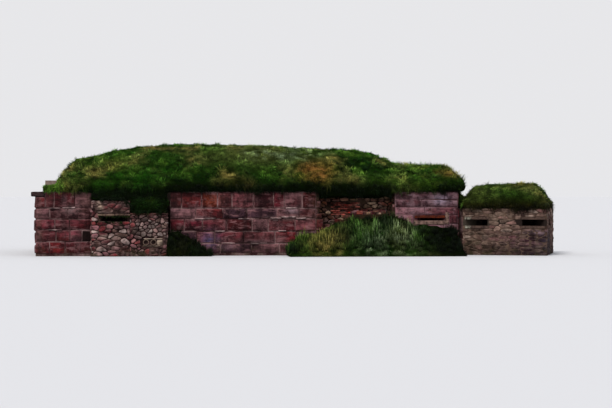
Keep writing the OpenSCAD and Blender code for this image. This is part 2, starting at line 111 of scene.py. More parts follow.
def put_node(tree, kind, settings=None, sockets=None, output=0):
    """Any node: its settings and ramp stops come first, then its sockets' values or links."""
    node = tree.nodes.new(kind)
    for key, value in (settings or {}).items():
        if key == "stops":
            for element, (place, colour) in zip(node.color_ramp.elements, value):
                element.position = place
                element.color = colour
        else:
            setattr(node, key, value)
    for key, value in (sockets or {}).items():
        if isinstance(value, Shade):
            tree.links.new(value.socket, node.inputs[key])
        else:
            node.inputs[key].default_value = value
    return Shade(tree, node.outputs[output]) if node.outputs else None


def seen_directly(tree):
    """One for a ray that the camera sends out, straight or off a glossy or clear surface."""
    rays = [put_node(tree, "ShaderNodeLightPath", output=f"Is {kind} Ray") for kind in (
        "Camera", "Glossy", "Transmission")]
    return (rays[0] + rays[1] + rays[2]).held()


backdrop_colour = (0.80, 0.80, 0.82, 1.0)
world = bpy.data.worlds.new("pale_backdrop")
bpy.context.scene.world = world
world.use_nodes = True
sky = world.node_tree
sky.nodes.clear()
ambient = {"Color": (0.92, 0.95, 1.0, 1.0), "Strength": 0.5}
room = put_node(sky, "ShaderNodeBackground", {}, ambient)
backdrop = put_node(sky, "ShaderNodeBackground", {}, {"Color": backdrop_colour, "Strength": 1.0})
lit = put_node(sky, "ShaderNodeMixShader", {}, {0: seen_directly(sky), 1: room, 2: backdrop})
put_node(sky, "ShaderNodeOutputWorld", {}, {"Surface": lit})


def paint(red, green, blue):
    """A colour given from 0 to 255 as on a paint chart, as linear light."""
    def linear(value):
        value /= 255
        return value / 12.92 if value <= 0.04045 else ((value + 0.055) / 1.055) ** 2.4
    return (linear(red), linear(green), linear(blue), 1.0)


def paint_chart(*colours):
    return [paint(*colour) for colour in colours]


class Finish:
    """A material made of one Principled shader, and the nodes that feed it."""

    def __init__(self, name, roughness, gloss=0.05):
        self.material = bpy.data.materials.new(name)
        self.material.use_nodes = True
        self.tree = self.material.node_tree
        self.shader = self.tree.nodes["Principled BSDF"]
        self.shader.inputs["Roughness"].default_value = roughness
        self.shader.inputs["Specular IOR Level"].default_value = gloss

    def node(self, kind, settings=None, sockets=None, output=0):
        return put_node(self.tree, kind, settings, sockets, output)

    def stretched(self, x, y, z):
        place = self.node("ShaderNodeTexCoord", output="Object")
        return self.node("ShaderNodeMapping", {}, {"Vector": place, "Scale": (x, y, z)})

    def speckle(self, size, detail=4.0, rough=0.55, where=None):
        """Noise whose lumps are about size metres across."""
        where = where or self.node("ShaderNodeTexCoord", output="Object")
        sockets = {"Vector": where, "Scale": 1 / size, "Detail": detail, "Roughness": rough}
        return self.node("ShaderNodeTexNoise", {}, sockets)

    def ramp(self, value, low, high):
        """Nothing at low, one at high, on whichever side of it that lies."""
        stops = [(low, (0, 0, 0, 1)), (high, (1, 1, 1, 1))]
        if high < low:
            stops = [(high, (1, 1, 1, 1)), (low, (0, 0, 0, 1))]
        return self.node("ShaderNodeValToRGB", {"stops": stops}, {"Fac": value})

    def mix(self, factor, first, second):
        sockets = {0: factor, 6: first, 7: second}
        return self.node("ShaderNodeMix", {"data_type": "RGBA"}, sockets, output=2)

    def attribute(self, name, output="Color"):
        return self.node("ShaderNodeAttribute", {"attribute_name": name}, output=output)

    def place(self, axis):
        place = self.node("ShaderNodeTexCoord", output="Object")
        return self.node("ShaderNodeSeparateXYZ", {}, {0: place}, output=axis)

    def colour(self, colour):
        self.tree.links.new(colour.socket, self.shader.inputs["Base Color"])

    def bumps(self, height, strength, distance):
        sockets = {"Height": height, "Strength": strength, "Distance": distance}
        bump = self.node("ShaderNodeBump", {}, sockets)
        self.tree.links.new(bump.socket, self.shader.inputs["Normal"])

    def weathered(self, colour, pale, dark, lime=0.6, damp=0.6):
        """Lime bloom, rain streaks, damp and moss that run over stones and mortar alike, and a painted
        shade low at the pillbox's east end.
        """
        bloom = self.ramp(self.speckle(0.75, 6, 0.62), 0.53, 0.70)
        specks = self.ramp(self.speckle(0.07, 5, 0.7), 0.35, 0.6)
        colour = self.mix(bloom * specks * lime, colour, pale)
        streaks = self.speckle(0.30, 5, 0.6, self.stretched(1.0, 1.0, 0.16))
        colour = self.mix(self.ramp(streaks, 0.50, 0.68) * damp, colour, dark)
        blotches = self.speckle(1.3, 5, 0.6)
        colour = self.mix(self.ramp(blotches, 0.50, 0.66) * damp * 0.8, colour, dark)
        # Painted shade: darker towards the ground east of the pillbox's middle.
        east_foot_painted_shade = ((self.place("X") - 10.7) * 0.5).held() * (1.15 - self.place("Z")).held()
        colour = self.mix(east_foot_painted_shade * 0.45, colour, paint(40, 30, 40))
        foot = (1.0 - self.place("Z") * 2.2).held()
        moss = self.ramp(self.speckle(0.35, 6), 0.45, 0.62) * foot
        return self.mix(moss * 0.8, colour, paint(44, 44, 22))

    def wear_on(self, *names):
        """Puts the finish on CAD nodes."""
        for name in names:
            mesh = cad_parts[name].data
            mesh.materials.clear()
            mesh.materials.append(self.material)


floor_reach = 900.0
bpy.ops.object.select_all(action="DESELECT")
bpy.ops.mesh.primitive_plane_add(size=2 * floor_reach, location=(0, 0, -0.002))
floor = bpy.context.object
floor.name = "floor"
floor_finish = Finish("pale_floor", 1.0, 0.0)
bounce = (0.30, 0.30, 0.30, 1.0)
shown = (0.60, 0.60, 0.62, 1.0)
floor_finish.colour(floor_finish.mix(seen_directly(floor_finish.tree), bounce, shown))
floor.data.materials.append(floor_finish.material)

# Front and rear walls of the main casemate. Coursed blocks of dark red sandstone, rock-faced and
# weathered, are bedded in pale lime mortar; the CAD walls behind them are the mortar and the core.
wall_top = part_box("front_wall_centre")[1].z
east = Vector((1, 0, 0))
north = Vector((0, 1, 0))
courses = [0.09, 0.54, 1.08, 1.64, 2.11, wall_top]
wall_colours = paint_chart(
    (88, 30, 35), (94, 34, 37), (56, 22, 26), (112, 62, 66), (94, 26, 29),
    (56, 36, 44), (138, 94, 98), (84, 42, 44), (74, 28, 24), (110, 38, 48),
)
lime = paint(144, 110, 112)
# Near-black paint for soot, and also for painted shade down a crack and beside the pillbox.
soot_and_shade_paint = (26, 15, 16)
soot = paint(*soot_and_shade_paint)


def mortar_finish(name, pale, dirty):
    mortar = Finish(name, 0.95)
    grain = mortar.speckle(0.05, 6)
    places = mortar.ramp(mortar.speckle(0.7, 5, 0.6), 0.44, 0.58)
    colour = mortar.mix(places, dirty, mortar.mix(grain, dirty, pale))
    mortar.colour(mortar.weathered(colour, lime, soot, 0.4, 0.6))
    mortar.bumps(grain, 0.7, 0.01)
    return mortar


mortar = mortar_finish("lime_mortar", paint(176, 142, 140), paint(56, 34, 34))
mortar.wear_on(
    "front_wall_west", "front_wall_centre", "slot_back", "end_walls", "rear_wall_sides",
    "rear_wall_over_door", "link_walls"
)


def stone_finish(name, pale, streak, lime_share, damp_share):
    """Weathered stone: each block's own colour, bedding lines, worn edges, bloom and damp."""
    stone = Finish(name, 0.9)
    grain = stone.speckle(0.035, 8, 0.65)
    mottle = stone.speckle(0.28, 5, 0.6)
    beds = stone.speckle(0.36, 6, 0.62, stone.stretched(1.0, 1.0, streak))
    bruises = stone.speckle(0.34, 5, 0.55)
    smears = stone.speckle(0.5, 4, 0.6, stone.stretched(0.8, 0.8, 3.2))
    shadow = stone.mix(0.78, stone.attribute("tint"), paint(18, 9, 10))
    colour = stone.mix(stone.ramp(mottle, 0.38, 0.54), shadow, stone.attribute("tint"))
    colour = stone.mix(stone.ramp(beds, 0.52, 0.60) * 0.7, colour, shadow)
    colour = stone.mix(stone.ramp(bruises, 0.55, 0.63) * 0.35, colour, pale)
    colour = stone.mix(stone.ramp(smears, 0.57, 0.64) * lime_share, colour, pale)
    colour = stone.mix(stone.ramp(smears, 0.46, 0.38) * damp_share, colour, shadow)
    colour = stone.mix(stone.ramp(grain, 0.52, 0.72) * 0.30, colour, pale)
    smeared = stone.ramp(stone.speckle(0.8, 4, 0.55), 0.47, 0.57) * 0.75 + 0.12
    worn = stone.attribute("wear", "Fac") * stone.ramp(mottle, 0.30, 0.48)
    colour = stone.mix(worn * smeared, colour, pale)
    stone.colour(stone.weathered(colour, pale, soot, lime_share, damp_share))
    stone.bumps(grain * 0.4 + beds * 0.7 + mottle * 0.8, 1.0, 0.025)
    return stone.material


wall_stone = stone_finish("dark_red_sandstone", paint(140, 98, 100), 5.0, 0.55, 0.6)


def make_piece(name, vertices, faces, material, attributes):
    """A new piece in place, with numbers or colours kept on its points."""
    mesh = bpy.data.meshes.new(name)
    mesh.from_pydata(vertices, [], faces)
    for key, values in attributes.items():
        values = np.asarray(values, dtype=np.float32)
        kind = "FLOAT_COLOR" if values.ndim == 2 else "FLOAT"
        layer = mesh.attributes.new(key, kind, "POINT")
        layer.data.foreach_set("color" if values.ndim == 2 else "value", values.ravel())
    mesh.polygons.foreach_set("use_smooth", [True] * len(mesh.polygons))
    mesh.materials.append(material)
    piece = bpy.data.objects.new(name, mesh)
    bpy.context.collection.objects.link(piece)
    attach(piece, "root")


def stations(length, roll, cell):
    """Places along one side of a block, close together where its edge rolls over."""
    inner = max(1, round((length - 2 * roll) / cell))
    middle = [roll + (length - 2 * roll) * i / inner for i in range(1, inner)]
    return [0.0, roll * 0.3, roll] + middle + [length - roll, length - roll * 0.3, length]


def held(value):
    """A number kept between nothing and one."""
    return min(1.0, max(0.0, value))


def mingle(first, second, share):
    return first + (second - first) * held(share)


def near(spot, x, z, wide, high):
    """One in the middle of a patch on the front, fading out around it."""
    return math.exp(-((spot.x - x) / wide) ** 2 - ((spot.z - z) / high) ** 2)


def mixable(red, green, blue):
    """A paint as an array that can be mixed."""
    return np.array(paint(red, green, blue)[:3])


def patch_list(*rows):
    """Patches of paint on a face: where each is, how far it spreads, its paint and strength."""
    return [(*place, mixable(*colour), strength) for *place, colour, strength in rows]


class StoneFace:
    """The stones of one wall face. Each is a closed pad whose rim is bedded in the wall."""

    def __init__(self, corner, along, colours, seed, proud, joint, rough, lift=None, patches=()):
        self.corner = corner
        self.along = along
        self.out = along.cross(Vector((0, 0, 1)))
        self.colours = colours
        self.draw = np.random.default_rng(seed)
        self.proud = proud
        self.joint = joint
        self.rough = rough
        self.lift = lift
        self.patches = patches
        self.patched_to = math.inf
        self.back = 0.05
        self.limed = 1.0
        self.vertices = []
        self.faces = []
        self.tints = []
        self.wears = []

    def pick(self):
        colour = np.array(self.colours[self.draw.integers(len(self.colours))][:3])
        return colour * self.draw.uniform(0.45, 1.5)

    def point(self, x, z, share, stand, tilt, tint, wear):
        """Adds a point of the face: share is how far it has risen towards the stone's stand."""
        spot = self.corner + self.along * x + Vector((0, 0, z))
        lumps = noise.noise(spot * 4.5) + 0.6 * noise.noise(spot * 11.0)
        depth = share * (stand + self.rough * lumps + tilt) - 0.012 * (1 - share)
        if self.lift:
            depth += self.lift(x, z)
        spot += self.along * noise.noise(spot * 1.9) * 0.02
        spot.z = max(0.0, spot.z + noise.noise(spot * 2.3 + Vector((9, 3, 1))) * 0.014)
        if spot.y <= self.patched_to:
            for at_x, at_z, wide, high, colour, strength in self.patches:
                tint = mingle(tint, colour, strength * near(spot, at_x, at_z, wide, high))
        self.vertices.append(spot + self.out * depth)
        self.tints.append((*tint, 1.0))
        self.wears.append(wear * self.limed)

    def close(self, ring):
        """Carries a ring of points back into the wall and closes the stone there."""
        behind = len(self.vertices)
        for index in ring:
            self.vertices.append(self.vertices[index] - self.out * self.back)
            self.tints.append(self.tints[index])
            self.wears.append(1.0)
        for k, index in enumerate(ring):
            after = (k + 1) % len(ring)
            self.faces.append((index, behind + k, behind + after, ring[after]))
        self.faces.append(tuple(behind + k for k in reversed(range(len(ring)))))

    def block(self, left, right, low, high, roll=0.05, round_off=0.06, cell=0.12, tint=None):
        """A squared block with rolled edges and slightly rounded corners."""
        width = right - left - self.joint * 0.6
        height = high - low - self.joint
        if width < 0.04 or height < 0.02:
            return
        roll = min(roll, width * 0.3, height * 0.3)
        columns = stations(width, roll, cell)
        rows = stations(height, roll, cell)
        first = len(self.vertices)
        stand = self.proud * self.draw.uniform(0.5, 1.4)
        lean = self.draw.uniform(-0.014, 0.014, 2)
        tint = self.pick() if tint is None else np.array(tint[:3])
        for place in columns:
            for rise in rows:
                u = 2 * place / width - 1
                v = 2 * rise / height - 1
                x = (u * math.sqrt(1 - round_off * v * v / 2) + 1) * width / 2
                z = (v * math.sqrt(1 - round_off * u * u / 2) + 1) * height / 2
                edge = min(1.0, min(place, width - place, rise, height - rise) / roll)
                share = 1 - (1 - edge) ** 2
                tilt = lean[0] * u + lean[1] * v
                left_x = left + self.joint * 0.3 + x
                self.point(left_x, low + self.joint / 2 + z, share, stand, tilt, tint, 1 - edge)
        many = len(rows)
        last = len(columns) - 1
        for i in range(last):
            for j in range(many - 1):
                a = first + i * many + j
                self.faces.append((a, a + many, a + many + 1, a + 1))
        ring = [first + i * many for i in range(last)]
        ring += [first + last * many + j for j in range(many - 1)]
        ring += [first + i * many + many - 1 for i in range(last, 0, -1)]
        ring += [first + j for j in range(many - 1, 0, -1)]
        self.close(ring)

    def finish(self, name, material, slot):
        attributes = {"tint": self.tints, "wear": self.wears}
        spots = [tuple(spot) for spot in self.vertices]
        make_piece(name, spots, self.faces, material, attributes)


def course_blocks(length, joints, shortest, longest, seed):
    """Blocks in courses along a wall: each is (from, to, bottom, top), with broken bonds."""
    draw = np.random.default_rng(seed)
    blocks = []
    for low, high in zip(joints, joints[1:]):
        place = 0.0
        while place < length - 1e-6:
            run = draw.uniform(shortest, longest)
            if length - place - run < shortest * 0.6:
                run = length - place
            blocks.append((place, place + run, low, high))
            place += run
    return blocks


def leave_hole(blocks, left, right, bottom, top):
    """Cuts a rectangular opening out of a wall's blocks."""
    kept = []
    for a, b, low, high in blocks:
        if b <= left or a >= right or high <= bottom or low >= top:
            kept.append((a, b, low, high))
            continue
        if a < left:
            kept.append((a, left, low, high))
        if b > right:
            kept.append((right, b, low, high))
        if low < bottom:
            kept.append((max(a, left), min(b, right), low, bottom))
        if high > top:
            kept.append((max(a, left), min(b, right), top, high))
    return kept


# The front wall's own patches: redder blocks, lime bloom, blue-grey, sooty and mossy places, and a
# painted shade down the crack in the centre bay.
wall_patches = patch_list(
    (-1.65, 2.45, 0.36, 0.28, (132, 58, 36), 0.9), (-2.75, 2.45, 0.55, 0.22, (112, 44, 40), 0.7),
    (-1.72, 0.66, 0.38, 0.42, (84, 80, 116), 1.0), (1.95, 2.02, 0.35, 0.16, (150, 128, 134), 0.7),
    # Painted shade: the narrow near-black strip at -1.02 stands for the shade inside a crack.
    (1.8, 1.66, 1.0, 0.07, (160, 138, 130), 0.9), (-1.02, 1.6, 0.07, 0.6, soot_and_shade_paint, 1.0),
    (3.0, 2.2, 0.4, 0.8, (58, 36, 26), 0.95), (-7.95, 2.05, 0.45, 0.22, (128, 106, 106), 0.7),
    (-8.1, 1.0, 0.9, 0.35, (112, 48, 56), 0.45), (-7.25, 2.4, 0.3, 0.4, (76, 54, 44), 0.6),
    (0.6, 0.75, 0.8, 0.25, (112, 56, 62), 0.4), (-9.3, 1.4, 0.12, 1.2, (120, 100, 88), 0.5),
    (6.5, 1.95, 0.2, 0.5, (46, 26, 26), 0.9), (0.3, 2.45, 0.5, 0.2, (40, 22, 26), 0.6),
    (-8.3, 1.78, 1.2, 0.07, (40, 20, 25), 0.85), (-8.3, 1.21, 1.2, 0.06, (42, 20, 25), 0.85),
    (-8.2, 1.5, 0.9, 0.12, (136, 74, 84), 0.6), (-7.9, 0.98, 0.7, 0.1, (150, 74, 84), 0.65),
    (-8.2, 2.5, 0.1, 0.2, (128, 102, 106), 0.7), (-2.5, 1.44, 0.9, 0.09, (124, 34, 52), 0.8),
    (-2.3, 1.68, 0.5, 0.07, (146, 122, 126), 0.75), (-2.6, 1.66, 0.1, 0.12, soot_and_shade_paint, 0.85),
    (-1.35, 0.45, 0.08, 0.2, (184, 154, 152), 0.8), (0.3, 0.62, 0.6, 0.07, (160, 132, 136), 0.7),
    (0.2, 2.43, 0.9, 0.04, (34, 16, 20), 0.85), (1.3, 1.4, 0.45, 0.09, (36, 20, 22), 0.8),
    (2.0, 2.35, 0.25, 0.2, (104, 26, 38), 0.7), (2.35, 2.35, 0.07, 0.2, soot_and_shade_paint, 0.85),
    (-3.2, 2.02, 0.4, 0.09, (150, 110, 118), 0.7), (-0.9, 0.9, 0.9, 0.09, (120, 44, 56), 0.6),
    (-1.5, 0.25, 0.35, 0.13, (26, 24, 30), 0.85), (0.9, 0.3, 0.5, 0.1, (40, 20, 24), 0.85),
    (-0.5, 0.78, 0.5, 0.06, (36, 18, 22), 0.8), (1.5, 0.86, 0.4, 0.07, (38, 18, 22), 0.8),
    (-0.2, 1.2, 0.35, 0.06, (34, 18, 20), 0.8), (-3.1, 1.25, 0.3, 0.12, (34, 18, 22), 0.8),
    (1.3, 0.66, 0.3, 0.07, (166, 140, 142), 0.8), (-0.9, 0.4, 0.25, 0.1, (140, 106, 112), 0.7),
)


def wall_face(name, corner, along, blocks, seed, limed=1.0):
    face = StoneFace(
        corner, along, wall_colours, seed, proud=0.05, joint=0.036, rough=0.019,
        patches=wall_patches
    )
    face.patched_to = front_y + 0.3
    face.limed = limed
    for block in blocks:
        face.block(*block)
    face.finish(name, wall_stone, "wall_stone")


def coursed_face(name, corner, along, length, joints, runs, bond, seed, holes=()):
    """A face of coursed blocks, with its holes cut out; runs are the shortest and longest block."""
    blocks = course_blocks(length, joints, *runs, bond)
    for hole in holes:
        blocks = leave_hole(blocks, *hole)
    wall_face(name, corner, along, blocks, seed)


corner_low, corner_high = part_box("corner_stone")
corner_bed = corner_low.z - 0.02
west_bay_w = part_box("front_wall_west")[1].x - west_x
west_courses = [0.09, 0.64, 1.16, 1.64, 2.13, wall_top]
west_corner = Vector((west_x, front_y, 0))
missing_stone = (2.03, west_bay_w, 0.64, 1.14)
coursed_face(
    "west_bay_stones", west_corner, east, west_bay_w, west_courses, (0.55, 1.15), 3, 31,
    [(0, corner_high.x - west_x + 0.02, corner_bed, math.inf), missing_stone]
)
hollow = StoneFace(west_corner, east, [lime], 30, proud=0.02, joint=0.0, rough=0.004)
hollow.block(*missing_stone)


def speckled_finish(name, dark, pale, size, detail=6, roughness=1.0, strength=0.5, depth=0.005):
    """Dirt, clay, earth, and the painted shade in hollows: specks in two tones that stand up as small
    bumps.
    """
    finish = Finish(name, roughness)
    specks = finish.speckle(size, detail)
    finish.colour(finish.mix(specks, dark, pale))
    finish.bumps(specks, strength, depth)
    return finish


# Painted shade: the hole left by the missing stone is a shallow block painted near-black.
hollow_painted_shade = speckled_finish(
    "missing_stone_painted_shade", paint(8, 7, 6), paint(40, 26, 26), 0.12, strength=0.8, depth=0.02
)
hollow.finish("missing_stone_bed", hollow_painted_shade.material, "wall_stone")

centre_start, centre_end = (corner.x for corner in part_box("front_wall_centre"))
centre_joints = [
    (0.09, 0.54, [-2.75, -1.30, 0.10, 1.35, 2.45]),
    (0.54, 1.08, [-2.35, -1.55, -0.25, 1.15, 2.10]),
    (1.08, 1.64, [-2.90, -2.10, -1.02, 0.13, 0.83, 2.05]),
    (1.64, 2.11, [-2.40, -1.19, -0.10, 1.25, 2.25]),
    (2.11, wall_top, [-3.02, -2.13, -1.42, -0.77, 0.18, 1.085, 1.57, 2.38]),
]
centre_blocks = []
for low, high, joints in centre_joints:
    places = [centre_start] + joints + [centre_end]
    centre_blocks += [
        (a - centre_start, b - centre_start, low, high) for a, b in zip(places, places[1:])
    ]
wall_face("centre_bay_stones", Vector((centre_start, front_y, 0)), east, centre_blocks, 32)

lime_pads = [
    (0.92, 1.46, 1.62, 1.72), (1.42, 2.12, 1.67, 1.77), (2.08, 2.56, 1.62, 1.70),
    (1.05, 1.30, 1.54, 1.60), (-2.45, -1.95, 1.60, 1.68), (-1.98, -1.50, 1.63, 1.70),
    (-0.50, 0.02, 1.60, 1.68), (-1.55, -1.08, 1.05, 1.13), (0.05, 0.44, 0.50, 0.58),
    (0.42, 0.80, 0.53, 0.60), (-1.28, -0.62, 0.52, 0.60), (1.62, 2.18, 2.07, 2.17),
    (1.30, 1.66, 1.06, 1.13), (-8.30, -7.70, 2.10, 2.18), (-8.85, -8.36, 2.08, 2.15),
    (-8.9, -8.3, 1.12, 1.19),
]
pointing_face = StoneFace(
    Vector((0, front_y, 0)), east, [lime], 37, proud=0.085, joint=0.0, rough=0.02
)
pad_paint = paint(176, 150, 148)
for left, right, low, high in lime_pads:
    pointing_face.block(left, right, low, high, 0.04, 0.4, 0.08, pad_paint)
pointing_face.finish("smeared_pointing", wall_stone, "wall_stone")

rear_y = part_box("rear_wall_sides")[1].y
length = east_x - west_x
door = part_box("rear_wall_over_door")
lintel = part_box("rear_door_lintel")
coursed_face(
    "rear_wall_stones", Vector((east_x, rear_y, 0)), -east, length, courses, (0.7, 1.35), 5, 33,
    [(east_x - door[1].x, east_x - door[0].x, 0, lintel[1].z),
     (east_x - lintel[1].x, east_x - lintel[0].x, lintel[0].z, lintel[1].z)]
)
side_length = rear_y - front_y
side_runs = (0.7, 1.3)
coursed_face(
    "west_end_stones", Vector((west_x, rear_y, 0)), -north, side_length, courses, side_runs, 7, 34,
    [(rear_y - corner_high.y - 0.02, side_length, corner_bed, math.inf)]
)
coursed_face(
    "east_end_stones", Vector((east_x, front_y, 0)), north, side_length, courses, side_runs, 8, 35
)
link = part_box("link_walls")
link_courses = [0.09, 0.54, 1.08, 1.6, link[1].z]
coursed_face(
    "link_rear_stones", Vector((link[1].x - 0.03, link[1].y, 0)), -east,
    link[1].x - east_x - 0.06, link_courses, (0.5, 0.7), 9, 36
)

# Rubble that fills the second bay. Hand-laid field stones and cobbles of many sorts, larger in the
# west part, stand in deep dirty mortar on a battered face, with an embrasure left between them.
rubble_colours = paint_chart(
    (128, 82, 82), (102, 44, 50), (152, 120, 116), (82, 30, 34), (122, 44, 48),
    (176, 154, 148), (66, 38, 36), (94, 68, 60), (136, 88, 94), (48, 26, 26),
)
dirt = mortar_finish("dirty_mortar", paint(112, 88, 80), paint(30, 20, 18))
dirt.wear_on("rubble_sill", "rubble_piers", "rubble_head", "rubble_bay_beam")
rubble_stone = stone_finish("field_stone", paint(154, 122, 118), 2.0, 0.35, 0.5)


def cut_outline(outline, middle, normal):
    """What is left of an outline behind a line."""
    kept = []
    for here, there in zip(outline, outline[1:] + outline[:1]):
        a = (here - middle).dot(normal)
        b = (there - middle).dot(normal)
        if a <= 0:
            kept.append(here)
        if a * b < 0:
            kept.append(here.lerp(there, a / (a - b)))
    return kept


def rubble_outlines(width, bottom, top, run, rise, joint, seed, holes=()):
    """Outlines of rubble stones that fit together: about run wide and rise high, with joints."""
    draw = np.random.default_rng(seed)
    flat = run / rise
    seeds = []
    rows = max(1, round((top - bottom) / rise))
    for j in range(-1, rows + 1):
        for i in range(-1, round(width / run) + 2):
            if draw.random() < 0.22:
                continue
            shove = draw.uniform(-0.42, 0.42, 2)
            seeds.append(Vector(((i + 0.5 * (j % 2) + shove[0]) * run,
                                 (bottom + (j + 0.5 + shove[1]) * rise) * flat)))
    outlines = []
    for own in seeds:
        outline = [Vector((0, bottom * flat)), Vector((width, bottom * flat)),
                   Vector((width, top * flat)), Vector((0, top * flat))]
        for other in seeds:
            apart = other - own
            if 0 < apart.length < 2.6 * run and outline:
                line = own + apart * 0.5 - apart.normalized() * joint / 2
                outline = cut_outline(outline, line, apart)
        for left, right, low, high in holes:
            sides = [(left - own.x, Vector((left, 0)), Vector((1, 0))),
                     (own.x - right, Vector((right, 0)), Vector((-1, 0))),
                     (low * flat - own.y, Vector((0, low * flat)), Vector((0, 1))),
                     (own.y - high * flat, Vector((0, high * flat)), Vector((0, -1)))]
            if not outline:
                continue
            if all(reach < 0 for reach, _, _ in sides):
                outline = []
                continue
            across = sorted(p.x for p in outline)
            upward = sorted(p.y for p in outline)
            beside = across[0] >= right or across[-1] <= left
            if not beside and upward[0] < high * flat and upward[-1] > low * flat:
                _, line, normal = max(sides, key=lambda side: side[0])
                outline = cut_outline(outline, line, normal)
        if len(outline) > 2:
            outline = [Vector((p.x, p.y / flat)) for p in outline]
            spread_x = max(p.x for p in outline) - min(p.x for p in outline)
            spread_z = max(p.y for p in outline) - min(p.y for p in outline)
            if spread_x > 0.3 * run and spread_z > 0.3 * rise:
                outlines.append(outline)
    return outlines


def rounded_ring(outline, count, corners):
    """Evenly spaced points round an outline whose corners have been cut off and eased."""
    for _ in range(corners):
        eased = []
        for here, there in zip(outline, outline[1:] + outline[:1]):
            eased += [here.lerp(there, 0.25), here.lerp(there, 0.75)]
        outline = eased
    lengths = [(b - a).length for a, b in zip(outline, outline[1:] + outline[:1])]
    total = sum(lengths)
    ring = []
    side = 0
    passed = 0.0
    for k in range(count):
        goal = total * k / count
        while passed + lengths[side] < goal:
            passed += lengths[side]
            side += 1
        share = (goal - passed) / max(lengths[side], 1e-9)
        ring.append(outline[side].lerp(outline[(side + 1) % len(outline)], share))
    return ring


def add_rubble(face, outline, count=11, corners=2):
    """A rounded field stone on a face: rings that rise from its bedded rim to its middle."""
    ring = rounded_ring(outline, count, corners)
    middle = sum(ring, Vector((0, 0))) / count
    stand = face.proud * face.draw.uniform(0.45, 1.5)
    lean = face.draw.uniform(-0.12, 0.12, 2)
    tint = face.pick()
    first = len(face.vertices)
    steps = [(1.0, 0.0), (0.97, 0.5), (0.84, 0.85), (0.5, 1.0)]
    for scale, share in steps:
        for p in ring:
            spot = middle.lerp(p, scale)
            tilt = lean.dot(np.array(spot - middle)) * share
            face.point(spot.x, spot.y, share, stand, tilt, tint, 1 - share)
    face.point(middle.x, middle.y, 1.0, stand * 1.04, 0.0, tint, 0.0)
    centre = len(face.vertices) - 1
    for level in range(len(steps) - 1):
        for k in range(count):
            a = first + level * count + k
            b = first + level * count + (k + 1) % count
            face.faces.append((a, b, b + count, a + count))
    inner = first + (len(steps) - 1) * count
    for k in range(count):
        face.faces.append((inner + k, inner + (k + 1) % count, centre))
    face.close([first + k for k in range(count)])


sill_low, sill_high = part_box("rubble_sill")
rubble_west, rubble_east = sill_low.x, sill_high.x
foot_out = front_y - sill_low.y
batter = 0.15 / wall_top
slit_low = sill_high.z
slit_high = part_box("rubble_piers")[1].z
slit_left = 0.35
slit_width = 1.24
slit_right = slit_left + slit_width
slab_top = slit_high + 0.13
step_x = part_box("turf_slump_east")[0].x - rubble_west
ledge_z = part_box("turf_slump_east")[0].z
head_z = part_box("turf_slump_west")[0].z
rubble_width = rubble_east - rubble_west


def on_batter(x, z):
    """How far the leaning face stands out from the wall's line; it is the same all along."""
    return foot_out - batter * z


# Pale cobbles low at the east side, red ones along the ledge, dark beds over the embrasure with painted
# shade spread over them under the slumped turf.
cobble_patches = patch_list(
    (-4.45, 1.1, 0.55, 0.45, (170, 156, 148), 0.75), (-4.6, 1.9, 0.8, 0.08, (118, 52, 46), 0.8),
    # Painted shade: the broad dark patch at -5.9 darkens the stones between the embrasure and the
    # slumped sod.
    (-5.9, 2.15, 1.1, 0.4, (44, 20, 20), 0.75), (-6.6, 2.3, 0.12, 0.3, (172, 158, 140), 0.8),
    (-6.3, 0.85, 0.45, 0.09, (176, 164, 150), 0.7), (-4.45, 0.84, 0.3, 0.07, (196, 180, 158), 0.7),
    (-6.2, 2.02, 1.0, 0.07, (34, 16, 15), 0.9), (-6.1, 2.36, 0.9, 0.07, (34, 16, 15), 0.9),
    (-6.2, 2.15, 1.0, 0.3, (60, 28, 28), 0.4), (-6.62, 2.25, 0.1, 0.2, (196, 170, 150), 0.9),
    (-6.86, 2.2, 0.08, 0.3, (30, 14, 14), 0.9), (-5.62, 2.2, 0.12, 0.2, (30, 14, 14), 0.8),
    (-5.9, 1.98, 0.4, 0.05, (176, 144, 130), 0.7), (-6.05, 2.2, 0.3, 0.1, (146, 60, 66), 0.9),
)
rubble_face = StoneFace(
    Vector((rubble_west, front_y, 0)), east, rubble_colours, 41, proud=0.055, joint=0.02,
    rough=0.018, lift=on_batter, patches=cobble_patches
)
slit_hole = (slit_left - 0.03, slit_right + 0.03, slit_low - 0.02, slab_top)
for outline in rubble_outlines(step_x, 0.0, head_z, 0.36, 0.17, 0.03, 11, [slit_hole]):
    add_rubble(rubble_face, outline, 12, 1)
pipe_radius = 0.13
pipe_z = 0.62
pipe_places = [-4.6, -4.27]
pipe_length = 0.16
bore_depth = 0.13
pipe_wall = 0.028
drain_left = pipe_places[0] - pipe_radius - rubble_west - step_x
drain_right = pipe_places[1] + 0.42 - rubble_west - step_x
drain_low = pipe_z - pipe_radius - 0.06
drain_high = pipe_z + pipe_radius + 0.06
drain_hole = (drain_left, drain_right, drain_low, drain_high)
east_outlines = rubble_outlines(
    rubble_width - step_x, 0.0, ledge_z - 0.08, 0.21, 0.15, 0.03, 12, [drain_hole]
)
for outline in east_outlines:
    add_rubble(rubble_face, [p + Vector((step_x, 0)) for p in outline])
drain_mortar = paint(178, 158, 136)
for left, right, low, high in (
    (drain_right - 0.29, drain_right, drain_low + 0.05, drain_high - 0.05),
    (drain_left, drain_right, drain_high - 0.06, drain_high),
    (drain_left, drain_right - 0.1, drain_low, drain_low + 0.06),
):
    rubble_face.block(step_x + left, step_x + right, low, high, 0.04, 0.3, 0.08, drain_mortar)
place = step_x
while place < rubble_width - 0.1:
    run = min(rubble_face.draw.uniform(0.25, 0.5), rubble_width - place)
    rubble_face.block(place, place + run, ledge_z - 0.085, ledge_z, 0.03, 0.2)
    place += run
slab_paint = paint(126, 110, 86)
